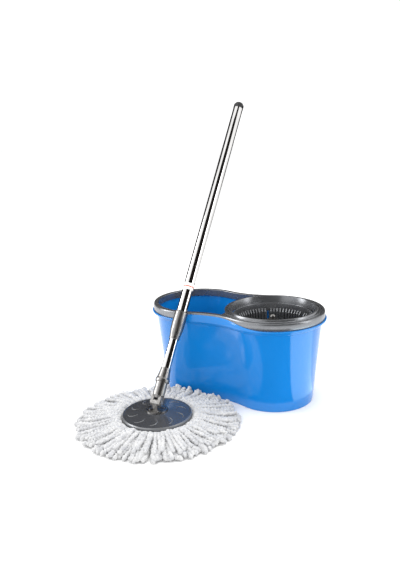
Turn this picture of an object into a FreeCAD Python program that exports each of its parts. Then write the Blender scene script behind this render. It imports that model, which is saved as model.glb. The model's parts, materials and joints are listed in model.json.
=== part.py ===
"""Spin mop: a two-lobed wringing bucket and a mop with a hand-press spin drive.

The mop stands beside the bucket with its handle leaning on the bucket's rim.
Millimetres, +Z up, origin on the floor under the middle of the whole set.
"""
import FreeCAD, Part
import math
import os
import re

import Sketcher
from FreeCAD import Placement, Rotation, Vector

os.makedirs("parts", exist_ok=True)
doc = FreeCAD.newDocument("spin_mop")

# ---------------------------------------------------------------- driving dimensions
DIMENSIONS = {
    # places: the basket's axis, the middle of the mop's plate, the handle's lean
    "basket_x": 114.6, "basket_y": 112.3,
    "mop_x": -62.1, "mop_y": -142.3, "lean_deg": 34.8,
    # bucket outline, measured at the rim
    "lobe_gap": 202.0, "basket_lobe": 125.0, "water_lobe": 117.0, "waist": 185.0,
    "rim_top": 225.0, "rim_seat": 207.0, "rim_chamfer": 1.5,
    # moulded shell
    "foot_inset": 27.0, "lip_inset": 6.5, "wall": 2.8, "lip_under": 203.0, "lip_reach": 2.5,
    "tongue_top": 219.0, "tongue_out": 5.0, "tongue_in": 8.5,
    "floor_top": 5.0, "foot_recess": 2.0, "foot_ring": 8.0,
    # rim frame: skirt, deck and round collar
    "skirt": 3.5, "deck": 4.0, "inner_skirt": 9.6, "rim_width": 12.0, "deck_ring": 114.5, "collar_hole": 105.5,
    "collar_top": 229.0, "collar_in": 103.0, "collar_out": 107.0, "collar_foot": 108.5,
    "funnel_low": 214.5, "funnel_in": 99.0, "funnel_out": 102.0,
    "groove_in": 109.5, "groove_out": 112.0, "groove_depth": 1.6,
    "horn_near": 36.0, "horn_high": 117.0, "horn_far": 91.0, "horn_waist": 105.0, "horn_ring": 68.5,
    "horn_mid": 70.0, "horn_low": 85.0,
    # spindle under the basket
    "post_foot": 36.0, "post_foot_top": 9.0, "post_low": 20.0, "post_high": 13.0, "post_top": 84.0,
    "pin_radius": 4.0, "pin_low": 40.0, "pin_top": 183.0,
    "post_screw_circle": 13.0, "post_screw": 2.0, "post_screw_tip": 22.0, "post_screw_head": 3.6,
    "post_screw_count": 3, "head_low": 0.3,
    "running_gap": 0.05,
    "sleeve_out": 6.0, "sleeve_top": 187.0, "sleeve_flange": 9.5, "flange_low": 96.0, "flange_top": 99.9,
    "clip_out": 7.6, "clip_low": 184.4, "clip_top": 185.8,
    # basket
    "basket_floor": 88.0, "basket_low": 88.0, "basket_high": 96.0, "basket_top": 212.5,
    "basket_wall": 2.0, "basket_bead": 97.0, "bead_low": 208.5,
    "floor_thick": 3.0, "floor_hole": 30.0,
    "cone_low": 34.0, "cone_high": 20.0, "cone_top": 188.0, "cone_wall": 2.4, "hub_ceiling": 184.5,
    "bush_seat": 8.0, "bush_tube": 11.0, "bush_low": 100.0, "bush_top": 184.0,
    "slot_low": 97.0, "slot_high": 182.0, "slot_width": 9.0, "slot_count": 24,
    "drain_in": 42.0, "drain_out": 78.0, "drain_width": 5.0, "drain_count": 18,
    "cap_edge_top": 190.0, "cap_shoulder": 16.0, "cap_shoulder_z": 196.0, "cap_top": 198.0,
    "cap_crown": 7.0, "ball_seat": 4.3, "ball_seat_z": 196.4, "stem": 3.0, "stem_low": 190.5,
    "ball": 7.0, "ball_z": 204.0,
    # mop head
    "plate": 80.0, "plate_low": 18.5, "plate_top": 28.0, "plate_crown": 34.0, "crown_flat": 26.0,
    "plate_thick": 4.0, "plate_edge": 1.5, "plate_boss": 61.8, "boss_in": 56.0, "boss_under": 26.0,
    "boss_low": 9.5, "core": 22.0, "core_low": 17.0,
    "ring_in": 62.0, "ring_out": 83.0, "ring_low": 8.5, "ring_top": 18.3,
    "tooth_width": 3.0, "tooth_root": 80.0, "tooth_count": 36,
    "yarn_in": 30.0, "yarn_out": 180.0, "yarn_top": 25.0, "yarn_crown": 110.0, "yarn_relief": 159.5,
    "yarn_shelf": 8.0, "yarn_grip": 60.0, "yarn_near": 84.5,
    # joint on the plate
    "hinge_z": 52.5, "lug_foot": 20.0, "lug_foot_top": 37.0, "lug_half": 5.9, "lug_round": 8.0,
    "lug_screw_circle": 15.0, "lug_screw": 1.5, "lug_screw_head": 3.0, "lug_screw_top": 39.0,
    "lug_screw_tip": 20.0, "lug_screw_count": 4,
    "base_in": 20.5, "base_out": 24.5, "base_top": 37.5,
    "hinge_pin": 3.0, "pin_head": 5.0, "pin_head_out": 14.5,
    # fork and collar, along the handle from the hinge
    "fork_half": 12.5, "fork_slot": 6.0, "fork_crotch": 9.5, "fork_body": 13.5, "fork_shoulder": 50.0,
    "fork_nose": 10.0, "fork_cheek": 16.0, "spigot": 9.65, "spigot_top": 78.0,
    "collar_low": 46.5, "collar_lip": 16.25, "collar_lip_top": 53.0, "collar_mid": 12.6,
    "collar_mid_z": 68.0, "collar_end": 11.3, "collar_end_z": 80.0, "collar_step": 52.0,
    # tubes
    "lower_out": 10.5, "lower_in": 9.7, "lower_top": 430.0,
    "upper_out": 12.5, "upper_in": 11.7, "upper_low": 170.0, "upper_top": 785.0,
    # spin drive
    "housing_low": 405.0, "housing_floor": 410.0, "housing_in": 7.6, "housing_hole": 4.2,
    "housing_flange": 436.0, "clutch_top": 412.5, "nut_low": 412.7, "nut_top": 424.0,
    "nut_out": 7.52, "cover_low": 424.3, "cover_top": 450.0, "cover_flange": 448.0, "cover_hole": 4.4,
    "bush_out": 11.64, "bush_gap": 0.05,
    "rod_width": 6.0, "rod_thick": 2.2, "rod_low": 150.0, "rod_top": 532.0, "rod_lead": 80.0,
    "rod_gap": 0.2, "rod_steps": 12, "stop_out": 6.0, "stop_low": 144.0,
    "anchor_low": 520.0, "anchor_top": 545.0, "anchor_out": 11.65, "anchor_hole": 3.4,
    "anchor_floor": 534.0, "anchor_pin": 1.2, "anchor_pin_z": 526.0, "anchor_pin_half": 11.4,
    # lock
    "collet_low": 153.0, "collet_tip": 11.2, "collet_mid": 11.6, "collet_mid_z": 165.0,
    "collet_out": 13.6, "collet_step": 172.0, "collet_top": 195.0, "split_width": 1.2,
    "split_top": 168.0, "split_count": 4, "grip_gap": 0.06,
    "lock_low": 149.0, "lock_tip": 12.0, "lock_mid": 13.5, "lock_mid_z": 164.0, "lock_neck": 14.8,
    "lock_neck_z": 173.0, "lock_out": 15.5, "lock_full_z": 189.0, "lock_top": 216.0,
    "lock_lip": 10.8, "lock_lip_z": 152.0, "seal_out": 14.9, "seal_top": 217.5,
    "band_low": 272.5, "band_top": 288.5, "band_out": 12.8,
    # cap at the top of the handle
    "plug_low": 764.0, "plug_out": 11.65, "cap_out": 12.9, "cap_side_top": 795.0, "dome_mid": 9.5,
    "dome_mid_z": 800.5, "cap_end": 802.5, "hang_hole": 3.0, "hang_z": 790.0,
}

sheet = doc.addObject("Spreadsheet::Sheet", "Dims")
for row, (alias, value) in enumerate(DIMENSIONS.items(), start=1):
    sheet.set(f"A{row}", alias)
    sheet.set(f"B{row}", str(value))
    sheet.setAlias(f"B{row}", alias)
doc.recompute()

ALIAS_WORDS = re.compile(r"\b(" + "|".join(sorted(DIMENSIONS, key=len, reverse=True)) + r")\b")


def bound(text):
    """Turn an expression on plain aliases into one on the sheet's cells."""
    return ALIAS_WORDS.sub(r"Dims.\1", text)


def value(text):
    """Return the number that an expression on the aliases has now."""
    result = sheet.evalExpression(bound(text))
    return float(getattr(result, "Value", result))


# ---------------------------------------------------------------- places
def on_basket_axis():
    """Place of the bucket's pieces, whose own origin is the basket's axis on the floor."""
    return Placement(Vector(value("basket_x"), value("basket_y"), 0), Rotation())


def on_mop():
    """Place of the mop head's pieces, whose own origin is the plate's axis on the floor."""
    return Placement(Vector(value("mop_x"), value("mop_y"), 0), Rotation())


def on_handle():
    """Place of the handle's pieces, whose own origin is the hinge and own Z runs up the handle."""
    lean = Rotation(Vector(1, 0, 0), -value("lean_deg"))
    return Placement(Vector(value("mop_x"), value("mop_y"), value("hinge_z")), lean)


# ---------------------------------------------------------------- building blocks
SUBPARTS = []


def sub_part(piece, label, place):
    """Give a finished piece its name and its place, and list it."""
    piece.Label = label
    piece.Placement = place
    SUBPARTS.append(piece)
    return piece


def new_body(label):
    return doc.addObject("PartDesign::Body", label)


def origin_feature(body, role):
    return next(item for item in body.Origin.OriginFeatures if item.Role == role)


def new_sketch(body, name, plane="XY_Plane", height=None):
    """Add a sketch on one of the body's own origin planes, raised by an expression."""
    sketch = body.newObject("Sketcher::SketchObject", name)
    sketch.AttachmentSupport = (origin_feature(body, plane), "")
    sketch.MapMode = "FlatFace"
    if height is not None:
        sketch.setExpression("AttachmentOffset.Base.z", bound(height))
    return sketch


def fix(sketch, kind, *where, size):
    """Add one dimension to a sketch and bind it to the sheet."""
    index = sketch.addConstraint(Sketcher.Constraint(kind, *where, value(size)))
    sketch.setExpression(f"Constraints[{index}]", bound(size))


def fix_point(sketch, item, end, across, up):
    """Fix one point of a sketch by its two coordinates, each an expression."""
    for kind, axis, size in (("DistanceX", -2, across), ("DistanceY", -1, up)):
        if abs(value(size)) < 1e-9:
            sketch.addConstraint(Sketcher.Constraint("PointOnObject", item, end, axis))
        else:
            fix(sketch, kind, -1, 1, item, end, size=size)


def add_polygon(sketch, corners):
    """Draw a closed polygon through corners, each a pair of expressions."""
    points = [Vector(value(across), value(up), 0) for across, up in corners]
    count = len(points)
    first = sketch.GeometryCount
    for index in range(count):
        sketch.addGeometry(Part.LineSegment(points[index], points[(index + 1) % count]), False)
    for index in range(count):
        after = first + (index + 1) % count
        sketch.addConstraint(Sketcher.Constraint("Coincident", first + index, 2, after, 1))
    for index, (across, up) in enumerate(corners):
        fix_point(sketch, first + index, 1, across, up)


def add_circle(sketch, radius, across="0", up="0"):
    """Draw a circle whose radius and centre are expressions."""
    centre = Vector(value(across), value(up), 0)
    item = sketch.addGeometry(Part.Circle(centre, Vector(0, 0, 1), value(radius)), False)
    fix(sketch, "Radius", item, size=radius)
    fix_point(sketch, item, 3, across, up)


def add_lobes(sketch, inset):
    """Draw the bucket's outline, two lobes and a pulled-in waist, moved in by an expression.

    The basket's lobe is centred on the origin and the water lobe lies along -X.
    """
    gap = value("lobe_gap")
    first_radius = value(f"basket_lobe - ({inset})")
    second_radius = value(f"water_lobe - ({inset})")
    waist_radius = value(f"waist + ({inset})")
    from_first = first_radius + waist_radius
    from_second = second_radius + waist_radius
    across = (from_second ** 2 - from_first ** 2 - gap ** 2) / (2 * gap)
    side = math.sqrt(from_first ** 2 - across ** 2)
    first_angle = math.atan2(side, across)
    second_angle = math.atan2(side, across + gap)
    to_first = math.atan2(-side, -across)
    to_second = math.atan2(-side, -gap - across)

    def arc(centre, radius, start, end):
        circle = Part.Circle(centre, Vector(0, 0, 1), radius)
        return sketch.addGeometry(Part.ArcOfCircle(circle, start, end), False)

    first = arc(Vector(0, 0, 0), first_radius, -first_angle, first_angle)
    back = arc(Vector(across, side, 0), waist_radius, to_second, to_first)
    second = arc(Vector(-gap, 0, 0), second_radius, second_angle, 2 * math.pi - second_angle)
    front = arc(Vector(across, -side, 0), waist_radius, -to_first, -to_second)
    for one, end, other, start in ((first, 2, back, 2), (back, 1, second, 1),
                                   (second, 2, front, 2), (front, 1, first, 1)):
        sketch.addConstraint(Sketcher.Constraint("Tangent", one, end, other, start))
    fix_point(sketch, first, 3, "0", "0")
    fix_point(sketch, second, 3, "-lobe_gap", "0")
    fix(sketch, "Radius", first, size=f"basket_lobe - ({inset})")
    fix(sketch, "Radius", second, size=f"water_lobe - ({inset})")
    fix(sketch, "Radius", back, size=f"waist + ({inset})")
    fix(sketch, "Radius", front, size=f"waist + ({inset})")


def pad(body, sketch, length, symmetric=False):
    """Add material from a sketch over a length given as an expression."""
    feature = body.newObject("PartDesign::Pad", "Pad")
    feature.Profile = (sketch, [""])
    feature.Midplane = symmetric
    feature.setExpression("Length", bound(length))
    doc.recompute()
    return feature


def check_cut(body, before, name):
    """Stop if a cut took no material away."""
    if body.Shape.Volume >= before - 1e-3:
        raise RuntimeError(f"{name} of {body.Name} cuts nothing")


def pocket(body, sketch, depth, symmetric=False, reverse=False):
    """Cut a sketch away over a depth given as an expression."""
    doc.recompute()
    before = body.Shape.Volume
    feature = body.newObject("PartDesign::Pocket", "Pocket")
    feature.Profile = (sketch, [""])
    feature.Midplane = symmetric
    feature.Reversed = reverse
    feature.setExpression("Length", bound(depth))
    doc.recompute()
    check_cut(body, before, "a pocket")
    return feature


def turn(body, corners, name="Profile"):
    """Add the solid that a closed profile of (radius, height) expressions sweeps about Z."""
    sketch = new_sketch(body, name, "XZ_Plane")
    add_polygon(sketch, corners)
    feature = body.newObject("PartDesign::Revolution", "Revolution")
    feature.Profile = (sketch, [""])
    feature.ReferenceAxis = (sketch, ["V_Axis"])
    feature.Angle = 360
    doc.recompute()
    return feature


def turn_away(body, corners, name="GrooveProfile"):
    """Cut away what a closed profile of (radius, height) expressions sweeps about Z."""
    before = body.Shape.Volume
    sketch = new_sketch(body, name, "XZ_Plane")
    add_polygon(sketch, corners)
    feature = body.newObject("PartDesign::Groove", "Groove")
    feature.Profile = (sketch, [""])
    feature.ReferenceAxis = (sketch, ["V_Axis"])
    feature.Angle = 360
    doc.recompute()
    check_cut(body, before, "a groove")
    return feature


def repeat_round(body, feature, count):
    """Repeat a feature evenly about Z, a number of times given as an expression."""
    pattern = body.newObject("PartDesign::PolarPattern", "Pattern")
    pattern.Originals = [feature]
    pattern.Axis = (origin_feature(body, "Z_Axis"), [""])
    pattern.Angle = 360
    pattern.setExpression("Occurrences", bound(count))
    body.Tip = pattern
    doc.recompute()
    return pattern


def loft(body, kind, low, high):
    """Join two sketches of one body by a ruled loft, additive or subtractive."""
    feature = body.newObject(f"PartDesign::{kind}Loft", f"{kind}Loft")
    feature.Profile = (low, [""])
    feature.Sections = [(high, [""])]
    feature.Ruled = True
    doc.recompute()
    return feature


def lobes(body, name, inset, height):
    """Add a sketch of the bucket's outline at a height."""
    sketch = new_sketch(body, name, "XY_Plane", height)
    add_lobes(sketch, inset)
    return sketch


def turned_piece(label, corners, place):
    """Make a sub-part that is one turned profile."""
    body = new_body(label)
    turn(body, corners)
    return sub_part(body, label, place)


def ring_corners(inner, outer, low, high):
    """Return the profile of a plain ring or tube."""
    return [(inner, low), (outer, low), (outer, high), (inner, high)]


def screw_group(label, place, circle, count, first_angle, shank, head, tip, seat, crown):
    """Make equal screws on a circle as one sub-part.

    The shank runs from tip to seat and the head from seat to crown, all heights.
    """
    screws = []
    for index in range(int(value(count))):
        angle = math.radians(first_angle) + 2 * math.pi * index / value(count)
        x_place = value(circle) * math.cos(angle)
        y_place = value(circle) * math.sin(angle)
        low, high = sorted((value(tip), value(seat)))
        body = Part.makeCylinder(value(shank), high - low, Vector(x_place, y_place, low))
        low, high = sorted((value(seat), value(crown)))
        cap = Part.makeCylinder(value(head), high - low, Vector(x_place, y_place, low))
        screws.append(body.fuse(cap).removeSplitter())
    group = doc.addObject("Part::Feature", label)
    group.Shape = Part.makeCompound(screws)
    return sub_part(group, label, place)


def twisted_bar(width, thick, low, high):
    """Return a flat bar twisted to the rod's lead, left-handed, between two heights."""
    steps_per_turn = int(value("rod_steps"))
    lead = value("rod_lead")
    count = max(2, math.ceil((high - low) / lead * steps_per_turn))
    sections = []
    for index in range(count + 1):
        height = low + (high - low) * index / count
        turn_angle = Rotation(Vector(0, 0, 1), -360 * height / lead)
        corners = [Vector(across * width / 2, up * thick / 2, 0)
                   for across, up in ((1, 1), (-1, 1), (-1, -1), (1, -1))]
        points = [turn_angle.multVec(corner) + Vector(0, 0, height) for corner in corners]
        sections.append(Part.makePolygon(points + points[:1]))
    return Part.makeLoft(sections, True, False)


# ---------------------------------------------------------------- bucket
def make_bucket_shell():
    """Moulded basin: tapered two-lobed wall, foot ring, a lip round the top and a tongue above it."""
    body = new_body("bucket_shell")
    foot = lobes(body, "FootOutline", "foot_inset", "0")
    under_lip = lobes(body, "UnderLipOutline", "lip_inset", "lip_under")
    loft(body, "Additive", foot, under_lip)
    lip = lobes(body, "LipOutline", "-lip_reach", "lip_under")
    pad(body, lip, "rim_seat - lip_under")
    before = body.Shape.Volume
    inside_low = lobes(body, "InsideLow", "foot_inset + wall", "floor_top")
    inside_high = lobes(body, "InsideHigh", "lip_inset + wall", "rim_seat")
    loft(body, "Subtractive", inside_low, inside_high)
    check_cut(body, before, "the inside")
    tongue = lobes(body, "Tongue", "tongue_out", "rim_seat - wall")
    add_lobes(tongue, "tongue_in")
    pad(body, tongue, "tongue_top - rim_seat + wall")
    recess = lobes(body, "FootRecess", "foot_inset + foot_ring", "foot_recess")
    pocket(body, recess, "foot_recess")
    holes = new_sketch(body, "PostScrewHoles", "XY_Plane", "floor_top")
    add_circle(holes, "post_screw + 0.1", "post_screw_circle")
    repeat_round(body, pocket(body, holes, "floor_top"), "post_screw_count")
    return sub_part(body, "bucket_shell", on_basket_axis())


def make_rim_frame():
    """Frame over the bucket's rim: skirt, flat top, deck, and the round collar of the basket."""
    body = new_body("rim_frame")
    outline = lobes(body, "Outline", "0", "rim_seat")
    pad(body, outline, "rim_top - rim_chamfer - rim_seat")
    chamfer_low = lobes(body, "ChamferLow", "0", "rim_top - rim_chamfer")
    chamfer_high = lobes(body, "ChamferHigh", "rim_chamfer", "rim_top")
    loft(body, "Additive", chamfer_low, chamfer_high)
    hollow = lobes(body, "UnderHollow", "skirt", "rim_top - deck")
    add_lobes(hollow, "inner_skirt")
    pocket(body, hollow, "rim_top - rim_seat")
    mouth = lobes(body, "Mouth", "rim_width", "rim_top")
    pocket(body, mouth, "rim_top - rim_seat")
    ring = new_sketch(body, "DeckRing", "XY_Plane", "rim_top - deck")
    add_circle(ring, "collar_hole")
    add_circle(ring, "deck_ring")
    pad(body, ring, "deck")
    for side, name in (("", "HornBack"), ("-", "HornFront")):
        horn = new_sketch(body, name, "XY_Plane", "rim_top - deck")
        add_polygon(horn, [("-horn_near", f"{side}horn_high"), ("-horn_far", f"{side}horn_waist"),
                           ("-horn_far", f"{side}horn_ring"), ("-horn_mid", f"{side}horn_low")])
        pad(body, horn, "deck - rim_chamfer")
    turn(body, [("collar_hole - 0.5", "rim_top - deck"), ("funnel_out", "funnel_low"),
                ("funnel_in", "funnel_low"), ("collar_in", "collar_top"),
                ("collar_out", "collar_top"), ("collar_foot", "rim_top"),
                ("collar_foot", "rim_top - deck")], "CollarProfile")
    turn_away(body, ring_corners("groove_in", "groove_out", "rim_top - groove_depth", "rim_top + 1"))
    return sub_part(body, "rim_frame", on_basket_axis())


def make_spindle_post():
    """Moulded pillar that stands on the floor and holds the steel pin."""
    body = new_body("spindle_post")
    turn(body, [("0", "floor_top"), ("post_foot", "floor_top"), ("post_foot", "post_foot_top - 1"),
                ("post_low", "post_foot_top"), ("post_high", "post_top"), ("pin_radius", "post_top"),
                ("pin_radius", "pin_low"), ("0", "pin_low")])
    holes = new_sketch(body, "ScrewHoles", "XY_Plane", "post_screw_tip")
    add_circle(holes, "post_screw", "post_screw_circle")
    repeat_round(body, pocket(body, holes, "post_screw_tip"), "post_screw_count")
    return sub_part(body, "spindle_post", on_basket_axis())


def make_spindle():
    """Post, its screws, the pin, and the bearing sleeve with its retaining clip."""
    place = on_basket_axis()
    make_spindle_post()
    screw_group("post_screws", place, "post_screw_circle", "post_screw_count", 0, "post_screw",
                "post_screw_head", "post_screw_tip", "foot_recess", "head_low")
    turned_piece("spindle_pin", [("0", "pin_low"), ("pin_radius", "pin_low"),
                                 ("pin_radius", "pin_top - 1.5"), ("pin_radius - 1.5", "pin_top"),
                                 ("0", "pin_top")], place)
    bore = "pin_radius + running_gap"
    turned_piece("bearing_sleeve", [(bore, "post_top"), ("sleeve_out", "post_top"),
                                    ("sleeve_out", "flange_low"), ("sleeve_flange", "flange_low"),
                                    ("sleeve_flange", "flange_top"), ("sleeve_out", "flange_top"),
                                    ("sleeve_out", "sleeve_top"), (bore, "sleeve_top")], place)
    turned_piece("sleeve_clip", ring_corners("sleeve_out", "clip_out", "clip_low", "clip_top"), place)


# ---------------------------------------------------------------- basket
def make_basket():
    """Wringing basket: smooth upper band, slotted wall and drained floor."""
    body = new_body("basket")
    floor_face = "basket_floor + floor_thick"
    turn(body, [("floor_hole", "basket_floor"), ("basket_low", "basket_floor"),
                ("basket_high", "bead_low"), ("basket_bead", "bead_low"), ("basket_bead", "basket_top"),
                ("basket_high - basket_wall", "basket_top"), ("basket_low - basket_wall", floor_face),
                ("floor_hole", floor_face)])
    slot = new_sketch(body, "WallSlot", "XY_Plane", "slot_high")
    inner = "basket_low - 2 * basket_wall - 2"
    outer = "basket_bead + 2"
    add_polygon(slot, [(inner, "-slot_width / 2"), (outer, "-slot_width / 2"),
                       (outer, "slot_width / 2"), (inner, "slot_width / 2")])
    repeat_round(body, pocket(body, slot, "slot_high - slot_low"), "slot_count")
    drain = new_sketch(body, "FloorDrain", "XY_Plane", "basket_floor + floor_thick + 1")
    add_polygon(drain, [("drain_in", "-drain_width / 2"), ("drain_out", "-drain_width / 2"),
                        ("drain_out", "drain_width / 2"), ("drain_in", "drain_width / 2")])
    repeat_round(body, pocket(body, drain, "floor_thick + 2"), "drain_count")
    return sub_part(body, "basket", on_basket_axis())


def make_basket_centre():
    """Hollow cone in the basket's middle, its bush, its shoulders, and the ball on top."""
    place = on_basket_axis()
    foot = "basket_floor + floor_thick"
    turned_piece("basket_hub", [("floor_hole - cone_wall", "basket_floor"),
                                ("floor_hole - running_gap", "basket_floor"),
                                ("floor_hole - running_gap", foot), ("cone_low", foot),
                                ("cone_high", "cone_top"), ("bush_seat", "cone_top"),
                                ("bush_seat", "bush_low"), ("bush_tube", "bush_low"),
                                ("bush_tube", "hub_ceiling"), ("cone_high - cone_wall", "hub_ceiling")],
                 place)
    turned_piece("basket_bush", ring_corners("sleeve_out + running_gap", "bush_seat", "bush_low",
                                             "bush_top"), place)
    turned_piece("hub_cap", [("0", "cone_top"), ("cone_high", "cone_top"), ("cone_high", "cap_edge_top"),
                             ("cap_shoulder", "cap_shoulder_z"), ("cap_crown", "cap_top"),
                             ("ball_seat", "cap_top"), ("ball_seat", "ball_seat_z"),
                             ("stem", "ball_seat_z"), ("stem", "stem_low"), ("0", "stem_low")], place)
    ball = doc.addObject("Part::Sphere", "Ball")
    ball.setExpression("Radius", bound("ball"))
    ball.setExpression("Placement.Base.z", bound("ball_z"))
    stem = doc.addObject("Part::Cylinder", "BallStem")
    stem.setExpression("Radius", bound("stem"))
    stem.setExpression("Height", bound("ball_z - stem_low"))
    stem.setExpression("Placement.Base.z", bound("stem_low"))
    cap = doc.addObject("Part::Fuse", "ball_cap")
    cap.Base = ball
    cap.Tool = stem
    sub_part(cap, "ball_cap", place)


# ---------------------------------------------------------------- mop head
def make_mop_head():
    """Yarn ring, the toothed ring that holds it, and the disc that snaps into the ring."""
    place = on_mop()
    yarn = new_body("mop_strands")
    turn(yarn, [("yarn_in", "0"), ("yarn_out - 12", "0"), ("yarn_out - 3", "4"), ("yarn_out", "10"),
                ("yarn_out - 5", "17"), ("yarn_out - 28", "21"), ("yarn_crown", "yarn_top"),
                ("yarn_near", "ring_top"), ("yarn_near", "yarn_shelf"), ("yarn_grip", "yarn_shelf"),
                ("yarn_in", "yarn_shelf")])
    relief = new_sketch(yarn, "WallRelief", "XY_Plane", "yarn_top + 1")
    add_polygon(relief, [("-yarn_out", "yarn_relief"), ("yarn_out", "yarn_relief"),
                         ("yarn_out", "yarn_out + 5"), ("-yarn_out", "yarn_out + 5")])
    pocket(yarn, relief, "yarn_top + 2")
    sub_part(yarn, "mop_strands", place)

    ring = new_body("strand_ring")
    turn(ring, ring_corners("ring_in", "ring_out", "ring_low", "ring_top"))
    tooth = new_sketch(ring, "ToothGap", "XY_Plane", "ring_top")
    add_polygon(tooth, [("tooth_root", "-tooth_width / 2"), ("ring_out + 1", "-tooth_width / 2"),
                        ("ring_out + 1", "tooth_width / 2"), ("tooth_root", "tooth_width / 2")])
    repeat_round(ring, pocket(ring, tooth, "ring_top - ring_low"), "tooth_count")
    sub_part(ring, "strand_ring", place)

    plate = new_body("mop_plate")
    turn(plate, [("0", "core_low"), ("core", "core_low"), ("core", "plate_crown - plate_thick"),
                 ("boss_in", "boss_under"), ("boss_in", "boss_low"), ("plate_boss", "boss_low"),
                 ("plate_boss", "plate_low"), ("plate", "plate_low"), ("plate", "plate_top - plate_edge"),
                 ("plate - plate_edge", "plate_top"), ("crown_flat", "plate_crown"),
                 ("0", "plate_crown")])
    holes = new_sketch(plate, "LugScrewHoles", "XY_Plane", "plate_crown")
    add_circle(holes, "lug_screw", "lug_screw_circle * cos(45)", "lug_screw_circle * sin(45)")
    repeat_round(plate, pocket(plate, holes, "plate_crown - lug_screw_tip"), "lug_screw_count")
    sub_part(plate, "mop_plate", place)
    turned_piece("base_ring", ring_corners("base_in", "base_out", "plate_crown", "base_top"), place)


def make_lug():
    """Lug of the handle's joint: round foot on the plate and a flat tongue with the pin's bore."""
    place = on_mop()
    body = new_body("plate_lug")
    turn(body, [("0", "plate_crown"), ("lug_foot", "plate_crown"), ("lug_foot", "lug_foot_top"),
                ("0", "lug_foot_top")])
    tongue = new_sketch(body, "Tongue", "YZ_Plane")
    add_polygon(tongue, [("-lug_round", "plate_crown + 1"), ("lug_round", "plate_crown + 1"),
                         ("lug_round", "hinge_z"), ("-lug_round", "hinge_z")])
    pad(body, tongue, "2 * lug_half", symmetric=True)
    crown = new_sketch(body, "TongueCrown", "YZ_Plane")
    add_circle(crown, "lug_round", "0", "hinge_z")
    pad(body, crown, "2 * lug_half", symmetric=True)
    bore = new_sketch(body, "PinBore", "YZ_Plane")
    add_circle(bore, "hinge_pin + running_gap", "0", "hinge_z")
    pocket(body, bore, "4 * lug_half", symmetric=True)
    holes = new_sketch(body, "FootHoles", "XY_Plane", "lug_foot_top")
    add_circle(holes, "lug_screw + 0.1", "lug_screw_circle * cos(45)", "lug_screw_circle * sin(45)")
    repeat_round(body, pocket(body, holes, "lug_foot_top - plate_crown"), "lug_screw_count")
    sub_part(body, "plate_lug", place)
    screw_group("lug_screws", place, "lug_screw_circle", "lug_screw_count", 45, "lug_screw",
                "lug_screw_head", "lug_screw_tip", "lug_foot_top", "lug_screw_top")


# ---------------------------------------------------------------- foot of the handle
def make_hinge_pin():
    """Rivet through fork and lug, with a round head at each end."""
    shank = doc.addObject("Part::Cylinder", "PinShank")
    shank.setExpression("Radius", bound("hinge_pin"))
    shank.setExpression("Height", bound("2 * fork_half"))
    head = doc.addObject("Part::Cylinder", "PinHead")
    far_head = doc.addObject("Part::Cylinder", "PinFarHead")
    along = Rotation(Vector(0, 1, 0), 90)
    shank.Placement = Placement(Vector(-value("fork_half"), 0, 0), along)
    for piece, start in ((head, "fork_half"), (far_head, "-pin_head_out")):
        piece.setExpression("Radius", bound("pin_head"))
        piece.setExpression("Height", bound("pin_head_out - fork_half"))
        piece.Placement = Placement(Vector(value(start), 0, 0), along)
    pin = doc.addObject("Part::MultiFuse", "hinge_pin")
    pin.Shapes = [shank, head, far_head]
    sub_part(pin, "hinge_pin", on_handle())


def make_fork():
    """Fork with two round-ended legs below, a body, and a spigot up into the lower tube."""
    body = new_body("joint_fork")
    turn(body, [("0", "fork_nose"), ("fork_nose", "fork_nose"), ("fork_body", "fork_cheek"),
                ("fork_body", "fork_shoulder"), ("spigot", "fork_shoulder"), ("spigot", "spigot_top"),
                ("0", "spigot_top")])
    legs = new_sketch(body, "Legs", "YZ_Plane")
    add_polygon(legs, [("-lug_round", "0"), ("lug_round", "0"), ("lug_round", "fork_cheek - 2"),
                       ("-lug_round", "fork_cheek - 2")])
    pad(body, legs, "2 * fork_half", symmetric=True)
    ends = new_sketch(body, "LegEnds", "YZ_Plane")
    add_circle(ends, "lug_round")
    pad(body, ends, "2 * fork_half", symmetric=True)
    slot = new_sketch(body, "Slot", "XZ_Plane")
    add_polygon(slot, [("-fork_slot", "-lug_round - 2"), ("fork_slot", "-lug_round - 2"),
                       ("fork_slot", "fork_crotch"), ("-fork_slot", "fork_crotch")])
    pocket(body, slot, "4 * fork_body", symmetric=True)
    bore = new_sketch(body, "PinBore", "YZ_Plane")
    add_circle(bore, "hinge_pin + running_gap")
    pocket(body, bore, "4 * fork_half", symmetric=True)
    sub_part(body, "joint_fork", on_handle())


def make_handle_foot():
    """Hinge pin, fork, flared collar and the lower tube."""
    place = on_handle()
    make_hinge_pin()
    make_fork()
    turned_piece("joint_collar", [("fork_body + running_gap", "collar_low"),
                                  ("collar_lip - 1.2", "collar_low"), ("collar_lip", "collar_low + 1.5"),
                                  ("collar_lip", "collar_lip_top"), ("collar_mid", "collar_mid_z"),
                                  ("collar_end", "collar_end_z"),
                                  ("lower_out + running_gap", "collar_end_z"),
                                  ("lower_out + running_gap", "collar_step"),
                                  ("fork_body + running_gap", "collar_step")], place)
    turned_piece("lower_tube", ring_corners("lower_in", "lower_out", "fork_shoulder", "lower_top"), place)


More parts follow.
